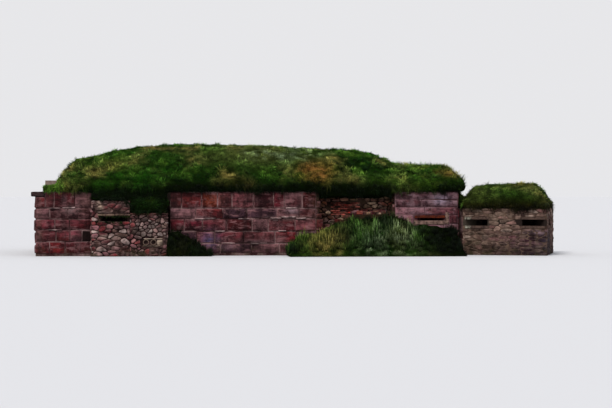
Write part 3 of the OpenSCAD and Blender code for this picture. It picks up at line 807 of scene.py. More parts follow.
for left, right, drop in (
    (-0.16, 0.27, 0.0), (0.27, 0.66, 0.015), (0.66, 1.08, 0.0), (1.08, 1.36, 0.02)
):
    rubble_face.block(
        slit_left + left, slit_left + right, slit_high + 0.005, slab_top - drop, 0.04, 0.16,
        tint=slab_paint
    )
rubble_face.finish("rubble_face_stones", rubble_stone, "rubble")
side_depth = foot_out - 0.06


def rubble_side(name, corner, along, top, seed):
    side = StoneFace(
        corner, along, rubble_colours, seed + 30, proud=0.045, joint=0.02, rough=0.016
    )
    for outline in rubble_outlines(side_depth, 0.0, top, 0.24, 0.16, 0.03, seed):
        add_rubble(side, outline)
    side.finish(name, rubble_stone, "rubble")


east_side_corner = Vector((rubble_east, front_y - side_depth, 0))
rubble_side("rubble_east_side_stones", east_side_corner, north, ledge_z, 13)
rubble_side("rubble_west_side_stones", Vector((rubble_west, front_y, 0)), -north, head_z, 14)

# Two drain pipes near the foot of the rubble: short thick-walled concrete pipes, open at the
# mouth, built into the mortar side by side.
pipe_clay = speckled_finish(
    "pale_pipe_concrete", paint(64, 48, 42), paint(150, 128, 112), 0.05, roughness=0.8
)
# Painted shade: the inside of each bore is painted near-black.
pipe_bore_shade = speckled_finish("pipe_bore_painted_shade", paint(10, 8, 7), paint(30, 24, 20), 0.02, 5)
for name, pipe_x in zip(("west_drain_pipe", "east_drain_pipe"), pipe_places):
    mouth_y = front_y - on_batter(0, pipe_z) - 0.11
    bpy.ops.object.select_all(action="DESELECT")
    bpy.ops.mesh.primitive_cylinder_add(
        vertices=28, radius=pipe_radius, depth=pipe_length,
        location=(pipe_x, mouth_y + pipe_length / 2, pipe_z), rotation=(math.radians(90), 0, 0)
    )
    pipe = bpy.context.object
    pipe.name = name
    bpy.ops.object.transform_apply(location=True, rotation=True, scale=True)
    bpy.ops.object.mode_set(mode="EDIT")
    bpy.ops.mesh.select_mode(type="FACE")
    bpy.ops.object.mode_set(mode="OBJECT")
    for face in pipe.data.polygons:
        face.select = face.normal.y < -0.9
    bpy.ops.object.mode_set(mode="EDIT")
    bpy.ops.mesh.inset(thickness=pipe_wall)
    bpy.ops.mesh.extrude_region_move(TRANSFORM_OT_translate={"value": (0, bore_depth, 0)})
    bpy.ops.object.mode_set(mode="OBJECT")
    pipe.data.materials.append(pipe_clay.material)
    pipe.data.materials.append(pipe_bore_shade.material)
    for face in pipe.data.polygons:
        centre = face.center - Vector((pipe_x, 0, pipe_z))
        deep = Vector((centre.x, 0, centre.z)).length < pipe_radius - 0.02
        face.material_index = 1 if deep and face.center.y > mouth_y + 0.01 else 0
    edge = pipe.modifiers.new("worn_edge", "BEVEL")
    edge.width = 0.006
    edge.segments = 2
    bpy.ops.object.modifier_apply(modifier="worn_edge")
    bpy.ops.object.shade_smooth_by_angle(angle=math.radians(40))
    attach(pipe, "root")

# The bay whose facing has fallen. The blocks end in ragged teeth, and behind them the wall's core
# of soft red brick, rubble and old mortar lies open under the turf.
fallen_west, fallen_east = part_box("broken_core")[0].x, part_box("broken_core")[1].x
core_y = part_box("broken_core")[0].y
width = fallen_east - fallen_west
teeth = [
    (0.0, 0.9, 0.09, 0.54), (0.9, 1.5, 0.09, 0.54), (0.0, 1.05, 0.54, 1.08), (0.0, 0.33, 1.08, 1.64),
    (0.0, 0.26, 1.64, 1.88), (0.0, 0.08, 1.88, 2.11), (0.0, 0.2, 2.11, 2.45),
    (width - 0.66, width, 0.09, 0.54), (width - 0.33, width, 0.54, 1.08),
    (width - 0.33, width, 1.08, 1.64), (width - 0.13, width, 1.64, 2.3),
]
wall_face("ragged_stones", Vector((fallen_west, front_y, 0)), east, teeth, 51, 0.2)
core_mud = mortar_finish("core_mortar", paint(96, 74, 60), paint(40, 28, 22))
core_mud.wear_on("broken_core", "broken_stubs")
fill_earth = speckled_finish(
    "dark_fill_earth", paint(20, 15, 9), paint(62, 46, 32), 0.1, strength=0.9, depth=0.02
)
fill_earth.wear_on("bay_fill")
brick_colours = paint_chart(
    (204, 66, 56), (164, 52, 46), (224, 112, 100), (116, 42, 36), (186, 92, 80), (74, 34, 30)
)
brick_finish = stone_finish("soft_red_brick", paint(140, 100, 88), 3.0, 0.3, 0.4)
core_colours = paint_chart(
    (150, 106, 84), (122, 80, 64), (168, 132, 104), (104, 62, 50), (190, 160, 132), (140, 70, 58)
)


def core_lumps(x, z):
    """The core is broken unevenly: it stands out or lies back by some centimetres."""
    return 0.07 + 0.13 * noise.noise(Vector((x * 1.1, z * 1.9, 4.0))) - 0.05 * (x < 1.2 and z < 1.75)


# A hollow low at the west side painted near-black as painted shade, a mossy wall above it, and pale
# stones at the east.
core_patches = patch_list(
    (3.6, 1.5, 0.75, 0.2, (12, 9, 7), 1.0), (3.2, 2.2, 0.4, 0.5, (104, 74, 42), 0.7),
    (5.02, 2.27, 0.12, 0.08, (220, 180, 160), 0.9), (6.0, 2.6, 0.35, 0.07, (200, 180, 140), 0.8),
    (5.8, 2.2, 0.6, 0.3, (170, 140, 116), 0.4),
)
core_corner = Vector((fallen_west, core_y, 0))
core_face = StoneFace(
    core_corner, east, core_colours, 53, proud=0.08, joint=0.02, rough=0.03,
    lift=core_lumps, patches=core_patches
)
core_face.back = 0.3
brick_left, brick_right, brick_low, brick_high = 0.7, 2.2, 1.78, 2.42
brick_hole = (brick_left, brick_right, brick_low, brick_high)
for outline in rubble_outlines(width, 0.9, wall_top, 0.3, 0.15, 0.03, 54, [brick_hole]):
    add_rubble(core_face, outline, 10)
core_face.finish("core_rubble", rubble_stone, "rubble")
brick_face = StoneFace(
    core_corner, east, brick_colours, 55, proud=0.035, joint=0.014, rough=0.008,
    lift=core_lumps, patches=core_patches
)
brick_face.back = 0.28
brick_run = 0.225
brick_rise = 0.085
for row in range(int((brick_high - brick_low) / brick_rise)):
    low = brick_low + row * brick_rise
    for column in range(int((brick_right - brick_left) / brick_run)):
        start = brick_left + (column + 0.5 * (row % 2)) * brick_run
        if start + brick_run < brick_right + 0.05 and brick_face.draw.random() > 0.12:
            brick_face.block(start, start + brick_run, low, low + brick_rise, 0.02, 0.15)
brick_face.finish("core_bricks", brick_finish, "brick")


def divided_block(name, centre, size, turn, bevel, cuts):
    """A block whose edges are bevelled and whose faces are divided, ready to be roughened."""
    bpy.ops.object.select_all(action="DESELECT")
    bpy.ops.mesh.primitive_cube_add(size=1, location=centre, rotation=turn, scale=size)
    block = bpy.context.object
    block.name = name
    bpy.ops.object.transform_apply(location=True, rotation=True, scale=True)
    bpy.ops.object.mode_set(mode="EDIT")
    bpy.ops.mesh.select_all(action="SELECT")
    bpy.ops.mesh.bevel(offset=bevel, segments=2)
    bpy.ops.mesh.select_all(action="SELECT")
    bpy.ops.mesh.subdivide(number_cuts=cuts)
    bpy.ops.object.mode_set(mode="OBJECT")
    return block


def rough_block(name, centre, size, turn, colour, seed):
    """One fallen stone, knocked out of true."""
    block = divided_block(name, centre, size, turn, min(size) * 0.2, 1)
    for point in block.data.vertices:
        shake = noise.noise_vector(point.co * 5.0 + Vector((seed, 0, 0)))
        point.co += shake * min(size) * 0.16
    layer = block.data.attributes.new("tint", "FLOAT_COLOR", "POINT")
    layer.data.foreach_set("color", list(colour) * len(block.data.vertices))
    bpy.ops.object.shade_smooth_by_angle(angle=math.radians(50))
    return block


# Without a seed, noise_vector gives other values each time.
noise.seed_set(19)
fallen_draw = np.random.default_rng(57)
fallen_colours = core_colours + wall_colours
bay_floor = 1.08
fallen = []
for k in range(38):
    across = fallen_draw.uniform(0.15, 1.25) if k < 17 else fallen_draw.uniform(1.25, 3.2)
    size = fallen_draw.uniform((0.16, 0.14, 0.09), (0.42, 0.3, 0.2))
    ground = bay_floor if across < 0.7 else min(1.82, bay_floor + (across - 0.7) * 0.75)
    rest = ground + size[2] * 0.4 + (0.1 if k % 4 == 0 else 0)
    spot = (fallen_west + across, front_y + fallen_draw.uniform(0.12, 0.48), rest)
    turn = fallen_draw.uniform((-0.2, -0.2, -0.8), (0.2, 0.2, 0.8))
    colour = fallen_colours[fallen_draw.integers(len(fallen_colours))]
    fallen.append(rough_block(f"fallen_{k}", spot, tuple(size), tuple(turn), colour, k))
bpy.ops.object.select_all(action="DESELECT")
for block in fallen:
    block.select_set(True)
bpy.context.view_layer.objects.active = fallen[0]
bpy.ops.object.join()
heap_of_stones = bpy.context.object
heap_of_stones.name = "fallen_stones"
heap_of_stones.data.materials.append(rubble_stone)
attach(heap_of_stones, "root")

# East casemate. Larger smoother blocks keep a worn mauve render, with a slit under a rusting steel
# joist and concrete dressings at its sill and east jamb.
east_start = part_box("east_casemate_sill")[0].x
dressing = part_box("east_casemate_dressings")
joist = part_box("east_casemate_beam")
east_colours = paint_chart((122, 78, 84), (104, 60, 66), (134, 90, 98), (88, 44, 50))
render_stone = stone_finish("mauve_rendered_stone", paint(154, 122, 130), 8.0, 0.5, 0.35)
east_mortar = mortar_finish("mauve_mortar", paint(150, 116, 118), paint(74, 44, 48))
east_mortar.wear_on("east_casemate_sill", "east_casemate_piers", "east_casemate_head")

# The render's own patches: a lavender bloom, pale streaks, dark damp, and painted shade at its east
# edge beside the pillbox.
casemate_patches = patch_list(
    (8.65, 2.5, 0.42, 0.22, (186, 164, 184), 0.95), (7.95, 2.5, 0.22, 0.3, (60, 32, 40), 0.6),
    (7.2, 2.0, 0.6, 0.1, (138, 102, 104), 0.6), (8.25, 2.2, 0.07, 0.5, (140, 108, 104), 0.6),
    (7.35, 1.72, 0.25, 0.08, (112, 52, 50), 0.6), (8.2, 2.2, 1.5, 0.06, (56, 30, 36), 0.6),
    # Painted shade: the near-black patches at 9.4 and 9.5 darken the low east corner and the gap to the
    # pillbox.
    (7.4, 2.62, 0.9, 0.06, (56, 30, 36), 0.6), (9.4, 0.3, 0.5, 0.9, soot_and_shade_paint, 1.2),
    (9.5, 1.9, 0.12, 0.9, soot_and_shade_paint, 0.8), (8.0, 2.85, 1.6, 0.1, (58, 44, 34), 0.6),
)
east_courses = [0.09, 0.54, 1.08, 1.38, 1.81, 2.15, 2.5, wall_top]
east_blocks = course_blocks(east_x - east_start, east_courses, 0.8, 1.5, 15)
slit_start = joist[0].x + 0.11 - east_start
slit_end = slit_start + slit_width
east_blocks = leave_hole(
    east_blocks, slit_start - 0.17, slit_end + 0.2, dressing[0].z - 0.005, joist[1].z + 0.005
)
east_face = StoneFace(
    Vector((east_start, front_y, 0)), east, east_colours, 61, proud=0.03, joint=0.016,
    rough=0.009, patches=casemate_patches
)
for block in east_blocks:
    east_face.block(*block, 0.04, 0.02)
east_face.finish("east_casemate_stones", render_stone, "casemate_stone")
concrete = Finish("old_concrete", 0.9)
boards = concrete.speckle(0.5, 5, 0.6, concrete.stretched(0.5, 0.5, 9.0))
pores = concrete.speckle(0.02, 8)
cast = concrete.mix(concrete.ramp(boards, 0.3, 0.7), paint(112, 94, 88), paint(150, 130, 120))
cast = concrete.mix(concrete.ramp(pores, 0.56, 0.7) * 0.5, cast, paint(60, 50, 46))
concrete.colour(concrete.weathered(cast, paint(170, 152, 142), paint(62, 50, 46), 0.4, 0.7))
concrete.bumps(boards * 0.5 + pores * 0.5, 0.6, 0.012)
concrete.wear_on(
    "main_floor", "rear_door_lintel", "roof_slab", "pillbox_floor", "pillbox_rear_lintel",
    "pillbox_roof_slab"
)


def dressing_finish(name, face, west_jamb):
    """Stained concrete round an embrasure, paler west of a line: on the pillbox a painted highlight on
    the west jamb, while the casemate's dressings lie west of it and take the paler colour.
    """
    dressed = Finish(name, 0.95)
    spots = dressed.speckle(0.12, 6)
    # Painted highlight on the pillbox's west jamb.
    jamb = ((9.99 - dressed.place("X")) * 8.0).held()
    spread = dressed.ramp(spots, 0.42, 0.66)
    dressed.colour(dressed.mix(spread, dressed.mix(jamb, face, west_jamb), paint(54, 42, 39)))
    dressed.bumps(spots, 0.6, 0.012)
    return dressed


stained_face = paint(88, 70, 62)
dressing_finish("pillbox_concrete", stained_face, paint(160, 156, 140)).wear_on("pillbox_dressings")
casemate_dressed = dressing_finish("casemate_concrete", stained_face, paint(136, 108, 98))
casemate_dressed.wear_on("east_casemate_dressings")
rust = Finish("rusted_steel", 0.85)
flakes = rust.speckle(0.06, 8, 0.65)
runs = rust.speckle(0.35, 6, 0.6)
iron = rust.mix(rust.ramp(flakes, 0.35, 0.65), paint(50, 20, 15), paint(118, 50, 26))
rust.colour(rust.mix(rust.ramp(runs, 0.42, 0.6) * 0.8, iron, paint(52, 26, 22)))
rust.bumps(flakes, 0.9, 0.008)
rust.wear_on("east_casemate_beam")

# Pillbox. Tan and pink rubble, flush pointed and smeared with old render so that the face looks
# nearly smooth, on all four sides, with concrete lintels and sills at its embrasures.
pillbox_turn = math.radians(18)
pillbox_forward = 0.3
pillbox_along = Vector((math.cos(pillbox_turn), -math.sin(pillbox_turn), 0))
pillbox_inward = Vector((math.sin(pillbox_turn), math.cos(pillbox_turn), 0))
pillbox_corner = Vector((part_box("pillbox_front_sill")[0].x, front_y - pillbox_forward, 0))
pillbox_width = 3.76
pillbox_depth = 3.70
pillbox_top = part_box("pillbox_front_head")[1].z
pillbox_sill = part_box("pillbox_front_sill")[1].z
pillbox_slit_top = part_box("pillbox_front_piers")[1].z
pillbox_colours = paint_chart(
    (138, 110, 100), (108, 84, 76), (170, 146, 134), (124, 84, 82), (80, 60, 54), (146, 104, 100)
)
pillbox_stone = stone_finish("tan_squared_stone", paint(136, 114, 100), 3.5, 0.5, 0.55)
pointing = mortar_finish("tan_pointing", paint(128, 104, 88), paint(76, 58, 50))
pointing.wear_on(
    "pillbox_front_sill", "pillbox_front_head", "pillbox_east_sill", "pillbox_east_piers",
    "pillbox_east_head", "pillbox_west_wall", "pillbox_rear_walls"
)
# Painted shade in the front embrasures' cheeks: dark brown, less deep on the west cheek and darker east
# of it, with spots of dirt.
cheek = Finish("painted_shade_cheek", 0.95)
cheek_spots = cheek.speckle(0.1, 6)
cheek_shaded_side = (cheek.place("X") - 10.4).held()
cheek_painted_shade = cheek.mix(cheek_shaded_side, paint(66, 58, 50), paint(38, 30, 27))
cheek.colour(cheek.mix(cheek.ramp(cheek_spots, 0.5, 0.7) * 0.5, cheek_painted_shade, paint(40, 34, 30)))
cheek.bumps(cheek_spots, 0.7, 0.01)
cheek.wear_on("pillbox_front_piers")

# Pinker rubble low at the east end, darkened there as painted shade, green low at the west, pale render
# above.
pillbox_patches = patch_list(
    # Painted shade: the first patch darkens the rubble low at the east end.
    (12.7, 0.5, 1.3, 0.6, (44, 26, 36), 1.1), (12.2, 0.62, 0.5, 0.07, (120, 70, 84), 0.6),
    (9.9, 1.95, 0.45, 0.25, (150, 124, 104), 0.6), (11.8, 0.92, 1.5, 0.13, (48, 32, 30), 0.7),
    (12.8, 1.25, 0.8, 0.08, (48, 34, 32), 0.6), (10.2, 0.6, 0.6, 0.4, (78, 76, 50), 0.55),
    (13.3, 0.6, 0.4, 0.45, (48, 48, 66), 0.9), (11.6, 0.76, 0.9, 0.07, (128, 78, 88), 0.9),
    (12.9, 1.04, 0.6, 0.07, (150, 124, 132), 1.0), (12.7, 0.78, 0.6, 0.05, (20, 14, 18), 0.9),
    (12.3, 0.52, 0.7, 0.07, (140, 104, 104), 0.9), (11.2, 1.7, 1.2, 0.4, (146, 124, 108), 0.5),
)


def pillbox_face(name, across, inward, along, width, seed, holes):
    corner = pillbox_corner + pillbox_along * across + pillbox_inward * inward
    face = StoneFace(
        corner, along, pillbox_colours, seed, proud=0.022, joint=0.014, rough=0.012,
        patches=pillbox_patches
    )
    for outline in rubble_outlines(width, 0.0, pillbox_top, 0.40, 0.15, 0.022, seed, holes):
        add_rubble(face, outline, 12, 1)
    face.finish(name, pillbox_stone, "pillbox_stone")


pillbox_slit = 0.98
edge = 0.13
bearing = 0.045
low = pillbox_sill - 0.115
high = pillbox_slit_top + 0.115
pillbox_face("pillbox_front_stones", 0, 0, pillbox_along, pillbox_width, 71, [
    (edge - bearing, edge + pillbox_slit + bearing, low, high),
    (pillbox_width - edge - pillbox_slit - bearing, pillbox_width - edge + bearing, low, high),
])
east_slit = 0.9
pillbox_face("pillbox_east_stones", pillbox_width, 0, pillbox_inward, pillbox_depth, 72, [
    (east_slit, east_slit + pillbox_slit, pillbox_sill, pillbox_slit_top),
])
door_half = 0.4
lintel_half = 0.61
middle = pillbox_width / 2
lintel_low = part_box("pillbox_rear_lintel")[0].z
pillbox_face("pillbox_rear_stones", pillbox_width, pillbox_depth, -pillbox_along, pillbox_width, 73, [
    (middle - door_half, middle + door_half, -1, pillbox_top + 1),
    (middle - lintel_half, middle + lintel_half, lintel_low, pillbox_top + 1),
])
pillbox_face("pillbox_west_stones", 0, pillbox_depth, -pillbox_inward, pillbox_depth, 74, [])

# Corner stone at the west end. One long block is let into the wall head and sticks out past the
# end wall, split along its bed and dark with damp.
corner_middle = (corner_low + corner_high) / 2
corner_size = corner_high - corner_low
corner_block = divided_block("corner_block", corner_middle, corner_size, (0, 0, 0), 0.03, 3)
for point in corner_block.data.vertices:
    shift = noise.noise_vector(point.co * 4.0) * 0.03
    shift.z *= 0.6
    point.co += shift
bpy.ops.object.shade_smooth_by_angle(angle=math.radians(40))
damp_stone = Finish("damp_dark_stone", 0.85)
splits = damp_stone.speckle(0.14, 6, 0.6, damp_stone.stretched(1.0, 1.0, 4.0))
damp_stone.colour(
    damp_stone.mix(damp_stone.ramp(splits, 0.35, 0.7), paint(24, 17, 20), paint(72, 54, 54))
)
damp_stone.bumps(splits, 0.9, 0.02)
corner_block.data.materials.append(damp_stone.material)
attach(corner_block, "root")
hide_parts("corner_stone")

# Earth and turf. The mound with its edge and slumped sods is one skin of rough turf over clay, and
# so are the pillbox's cap and each bank: the CAD solids are merged, eased and worked into tussocks.
turf_deep = mixable(14, 44, 8)
turf_shade = mixable(9, 22, 5)
turf_wet = mixable(28, 78, 14)
turf_green = mixable(44, 84, 22)
turf_bright = mixable(92, 132, 44)
turf_olive = mixable(110, 120, 60)
turf_straw = mixable(150, 134, 70)
turf_brown = mixable(158, 112, 56)
turf_reed = mixable(132, 150, 112)


def clump(spot):
    """How far a place is up a tussock: one at its heart, nothing in the gaps between tussocks."""
    return max(0.0, 1.0 - 1.25 * noise.voronoi(spot * 2.1)[0][0])


# Patches of turf: colour, strength, what middling and fine noise add to it, place and spread.
cap_patches = [
    (turf_olive * 0.7, 0.7, 0, 0, 10.1, 2.75, 0.9, 0.35),
    (turf_olive, 0.5, 0, 0, 12.8, 3.0, 0.5, 0.3),
]
mound_patches = [
    (turf_olive, 0.75, 0, 0, 0.4, 4.5, 2.4, 0.5),
    (turf_straw, 0.35, 1.4, 0, -6.6, 3.95, 0.9, 0.35),
    (turf_bright, 0.3, 0, 0, -6.4, 4.2, 1.4, 0.4),
    (turf_brown, 0.95, 0, 1, 3.05, 3.75, 0.75, 0.45),
    (turf_deep, 0.8, 0, 0, -0.7, 3.4, 1.1, 0.4),
    (turf_straw * 1.3, 1.0, 0, 1, -0.95, 3.6, 0.3, 0.17),
    (turf_bright, 0.35, 0, 0, 7.9, 3.4, 1.3, 0.4),
    (turf_brown * 0.8, 0.3, 1, 0, 8.7, 3.5, 1.1, 0.4),
    (turf_reed, 0.25, 1, 1, 1.6, 4.6, 1.6, 0.35),
    (turf_bright, 0.5, 0, 0, 6.2, 3.3, 1.0, 0.3),
    (turf_wet, 0.85, 0, 0, -4.3, 3.4, 1.8, 0.6),
]
bank_patches = [
    (turf_straw, 0.7, 0, 1, 3.3, 0.5, 0.8, 0.6),
    (turf_reed, 0.4, 0, 1.6, 6.2, 0.7, 1.4, 0.7),
    # Painted shade: the last three rows darken the bank at its east end and along its crest.
    (turf_shade, 1.3, 0, 0, 9.0, 0.7, 1.6, 1.2),
    (turf_deep, 0.7, 0, 0, 5.0, 1.7, 1.6, 0.3),
    (turf_shade, 0.85, 0, 0, 5.8, 1.6, 1.4, 0.42),
]
mound_end = 9.6
mound_shoulder = -8.4


def patched(colour, patches, spot, middling, fine):
    for shade, strength, by_middling, by_fine, *place in patches:
        share = strength + middling * by_middling + fine * by_fine
        colour = mingle(colour, shade, share * near(spot, *place))
    return colour


def turf_colour(spot):
    """Colour of the turf at a place: green, with olive, straw and brown where grass has died, painted
    shade under lips and in shaded banks, and painted light at the far west end.
    """
    broad = noise.noise(spot * 0.45 + Vector((3, 8, 1)))
    middling = noise.noise(spot * 1.3 + Vector((1, 2, 7)))
    fine = noise.noise(spot * 4.0)
    colour = mingle(turf_green, turf_deep, 0.25 - broad * 1.2 - middling * 0.9)
    colour = mingle(colour, turf_bright, (middling + fine * 0.6 - 0.05) * 1.5)
    dry = noise.noise(spot * 0.8 + Vector((11, 4, 2))) + fine * 0.4
    colour = mingle(colour, turf_olive, (dry - 0.02) * 2.0)
    colour = mingle(colour, turf_straw, (dry - 0.38) * 2.0)
    front = spot.y < 0
    # Painted shade on the low front turf west of the middle: the slumped sods and the moss at the
    # embrasure.
    if front and 2.5 > spot.z > 1.3 and spot.x < 0:
        colour = mingle(colour, turf_shade, 0.8)
    if spot.x > 9.8 and spot.z > wall_top - 0.7:
        colour = mingle(colour, turf_olive * 0.35, 0.3)
    # Painted shade: the pillbox cap's turf is dark brown-green down its lip.
    if spot.x > mound_end and spot.z < 2.6:
        colour = mingle(colour, turf_shade + turf_brown * 0.05, (2.72 - spot.z) * 2.2)
    if front and spot.x > mound_end:
        colour = patched(colour, cap_patches, spot, middling, fine)
    if front and spot.z > 2.5 and spot.x < mound_end:
        colour = patched(colour, mound_patches, spot, middling, fine)
        west_end = held(-6.9 - spot.x + middling)
        # Painted light: the far west end of the mound is lightened beyond the yellow-green, where it
        # faces away from the light.
        far = held((-8.2 - spot.x) * 3.0)
        share = (0.5 + 0.45 * far - max(0.0, spot.z - wall_top - 0.3) * 2.0) * west_end
        colour = mingle(colour, turf_bright * (1.0 + 0.5 * far), share)
        # Painted shade: a dark band low on the mound down to the wall head, lower over the rubble,
        # weaker at the east, none at the west end.
        over_rubble = -6.9 < spot.x < -3.7
        foot = wall_top - 0.25 if over_rubble else wall_top
        lip_painted_shade = min(1.0, 1.65 + middling * 0.6 - max(0.0, spot.z - foot) * 2.6)
        lip_painted_shade *= 0.45 if 6.4 < spot.x < 8.5 else 1.0
        colour = mingle(colour, turf_shade, lip_painted_shade * (1.0 - west_end))
    if front and spot.z < 2.2 and 0 < spot.x < mound_end:
        colour = patched(colour, bank_patches, spot, middling, fine) * 0.72
    # Painted shade: the corner bank and other low front turf west of the middle are nearly black.
    if front and spot.z < 1.5 and spot.x < 0:
        colour = mingle(colour, turf_shade * 0.6, 0.97)
    return colour * max(0.3, 1.0 + 0.7 * fine)


sod = Finish("turf_sod", 1.0, 0.0)
thatch = sod.speckle(0.06, 8, 0.7)
clods = sod.speckle(0.3, 5)
ground = sod.mix(sod.ramp(thatch, 0.38, 0.66), paint(12, 16, 5), sod.attribute("tint"))
sod.colour(sod.mix(sod.ramp(clods, 0.55, 0.75) * 0.25, ground, paint(30, 26, 12)))
sod.bumps(thatch, 1.0, 0.05)


def swell(value, middle, spread):
    """One at the middle, fading out on both sides of it."""
    return math.exp(-((value - middle) / spread) ** 2)


def mound_nudge(spot):
    """The mound's fuller west shoulder, its turf and crest at the east end, its brow's edge."""
    shoulder = 0.13 * swell(spot.x, -7.8, 0.55) * held((spot.z - 3.1) * 2)
    over = 0.22 * held((spot.x - 8.7) * 1.6) * swell(spot.z, 3.2, 0.4)
    crest = 0.17 * swell(spot.x, 9.15, 0.4) * held((spot.z - 3.4) * 3)
    nudge = Vector((over - 0.5 * shoulder, 0, shoulder + crest))
    if 3.0 < spot.x < 6.6 and spot.y < -3.6:
        edge = 2.57 + 0.12 * noise.noise(Vector((spot.x * 2.2, 0, 5)))
        nudge.z += max(0.0, edge - spot.z)
    return nudge


def cap_nudge(spot):
    """The cap's turf ends flush with the pillbox's east wall and stands steep at its west end."""
    across = (spot - pillbox_corner).dot(pillbox_along)
    nudge = pillbox_along * -0.12 * held((across - pillbox_width + 0.3) * 3)
    nudge.z += 0.13 * swell(across, 0.32, 0.3) * held((spot.z - 2.55) * 4)
    return nudge


def bank_nudge(spot):
    """The bank's crest sags where it leans into the collapsed bay."""
    sag = 0.15 * swell(spot.x, 5.3, 1.1) * held((spot.z - 1.1) * 2)
    return Vector((0, 0, -sag))


def turf_body(name, nodes, voxel, ease, tussock, sink=0.0, nudge=None):
    """One skin of turf over some CAD solids, joined, eased and pushed in and out in tussocks."""
    bpy.ops.object.select_all(action="DESELECT")
    copies = []
    for node in nodes:
        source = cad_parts[node]
        part = source.copy()
        part.data = source.data.copy()
        bpy.context.collection.objects.link(part)
        part.select_set(True)
        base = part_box(node)[0].z
        if sink and node == nodes[0]:
            for point in part.data.vertices:
                if point.co.z < base + 0.001:
                    point.co.z -= sink
        copies.append(part)
    bpy.context.view_layer.objects.active = copies[0]
    bpy.ops.object.join()
    body = bpy.context.object
    body.name = name
    body.data.name = name
    bpy.ops.object.mode_set(mode="EDIT")
    bpy.ops.mesh.select_all(action="SELECT")
    bpy.ops.mesh.remove_doubles(threshold=0.0005)
    bpy.ops.mesh.normals_make_consistent(inside=False)
    bpy.ops.object.mode_set(mode="OBJECT")
    remesh = body.modifiers.new("one_skin", "REMESH")
    remesh.mode = "VOXEL"
    remesh.voxel_size = voxel
    bpy.ops.object.modifier_apply(modifier="one_skin")
    smooth = body.modifiers.new("eased", "SMOOTH")
    smooth.factor = 0.5
    smooth.iterations = ease
    bpy.ops.object.modifier_apply(modifier="eased")
    mesh = body.data
    normals = [point.normal.copy() for point in mesh.vertices]
    tints = []
    for point, normal in zip(mesh.vertices, normals):
        spot = point.co.copy()
        heart = clump(spot)
        lumps = noise.noise(spot * 0.9) * 0.5 + noise.noise(spot * 7.0) * 0.2
        # Painted shade: the sod is darker in the gaps between tussocks than at their hearts.
        tints.append((*(turf_colour(spot) * (0.45 + 0.75 * heart)), 1.0))
        height = 1.0 - 0.5 * held((spot.z - 4.0) / 0.6)
        if spot.x < mound_shoulder:
            height = 0.3
        if normal.z > -0.35 and spot.z > 0.03:
            push = tussock * height * (heart * 1.3 - 0.45 + lumps)
            point.co = spot + normal * push * min(1.0, spot.z / 0.3)
        if nudge:
            point.co += nudge(spot)
        point.co.z = max(point.co.z, 0.0)
    layer = mesh.attributes.new("tint", "FLOAT_COLOR", "POINT")
    layer.data.foreach_set("color", np.array(tints, dtype=np.float32).ravel())
    mesh.polygons.foreach_set("use_smooth", [True] * len(mesh.polygons))
    mesh.materials.clear()
    mesh.materials.append(sod.material)
    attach(body, "root")
    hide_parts(*nodes)
    return body


mound = turf_body(
    "mound_turf", ["turf_mound", "mound_edge", "turf_slump_west", "turf_slump_east", "turf_brow"],
    voxel=0.11, ease=4, tussock=0.10, sink=0.2, nudge=mound_nudge
)
cap = turf_body(
    "pillbox_cap_turf", ["pillbox_turf", "pillbox_turf_edge"],
    voxel=0.075, ease=3, tussock=0.06, sink=0.1, nudge=cap_nudge
)
link_earth = turf_body("link_earth", ["link_turf"], voxel=0.07, ease=2, tussock=0.05)
bank = turf_body(
    "collapsed_bank_turf", ["collapsed_bank"], voxel=0.07, ease=4, tussock=0.09, nudge=bank_nudge
)
small_bank = turf_body("corner_bank_turf", ["corner_bank"], voxel=0.05, ease=4, tussock=0.06)

# Grass. Tufts of separate bent blades stand on the turf wherever it faces up, and long blades hang
# in locks over every lip of the turf.
blade_finish = Finish("grass_blades", 0.8, 0.1)
blade_tip = blade_finish.attribute("tip", "Fac")
# Painted shade: each blade darkens to near-black at its root.
blade_finish.colour(blade_finish.mix(blade_tip, paint(10, 14, 4), blade_finish.attribute("tint")))


def grow_blades(name, roots, directions, lengths, widths, sags, tints, seed):
    """Closed three-sided blades from roots along directions, bent down under their own weight."""
    draw = np.random.default_rng(seed)
    count = len(roots)
    sideways = draw.normal(size=(count, 3))
    sideways -= directions * np.sum(sideways * directions, axis=1)[:, None]
    sideways /= np.linalg.norm(sideways, axis=1)[:, None] + 1e-9
    facing = np.cross(directions, sideways)
    down = np.array([0.0, 0.0, -1.0])
    rings = []
    for share, breadth in ((0.0, 0.5), (0.55, 0.4)):
        centre = roots + directions * (lengths * share)[:, None]
        centre = centre + down * (sags * lengths * share ** 2)[:, None]
        for angle in (90, 210, 330):
            c = math.cos(math.radians(angle))
            s = math.sin(math.radians(angle)) * 0.4
            rings.append(centre + (sideways * c + facing * s) * (widths * breadth)[:, None])
    tip = roots + directions * lengths[:, None] + down * (sags * lengths)[:, None]
    points = np.stack(rings + [tip], axis=1).reshape(-1, 3)
    points[:, 2] = np.maximum(points[:, 2], 0.004)
    pattern = np.array([
        (2, 1, 0), (0, 1, 4), (0, 4, 3), (1, 2, 5), (1, 5, 4), (2, 0, 3), (2, 3, 5), (3, 4, 6),
        (4, 5, 6), (5, 3, 6),
    ])
    faces = (pattern[None] + (np.arange(count) * 7)[:, None, None]).reshape(-1, 3)
    colours = np.ones((count, 7, 4), dtype=np.float32)
    colours[:, :, :3] = tints[:, None, :]
    tips = np.tile(np.array([0.1, 0.1, 0.1, 0.75, 0.75, 0.75, 1.0]), count)
    attributes = {"tint": colours.reshape(-1, 4), "tip": tips}
    make_piece(name, points.tolist(), faces.tolist(), blade_finish.material, attributes)


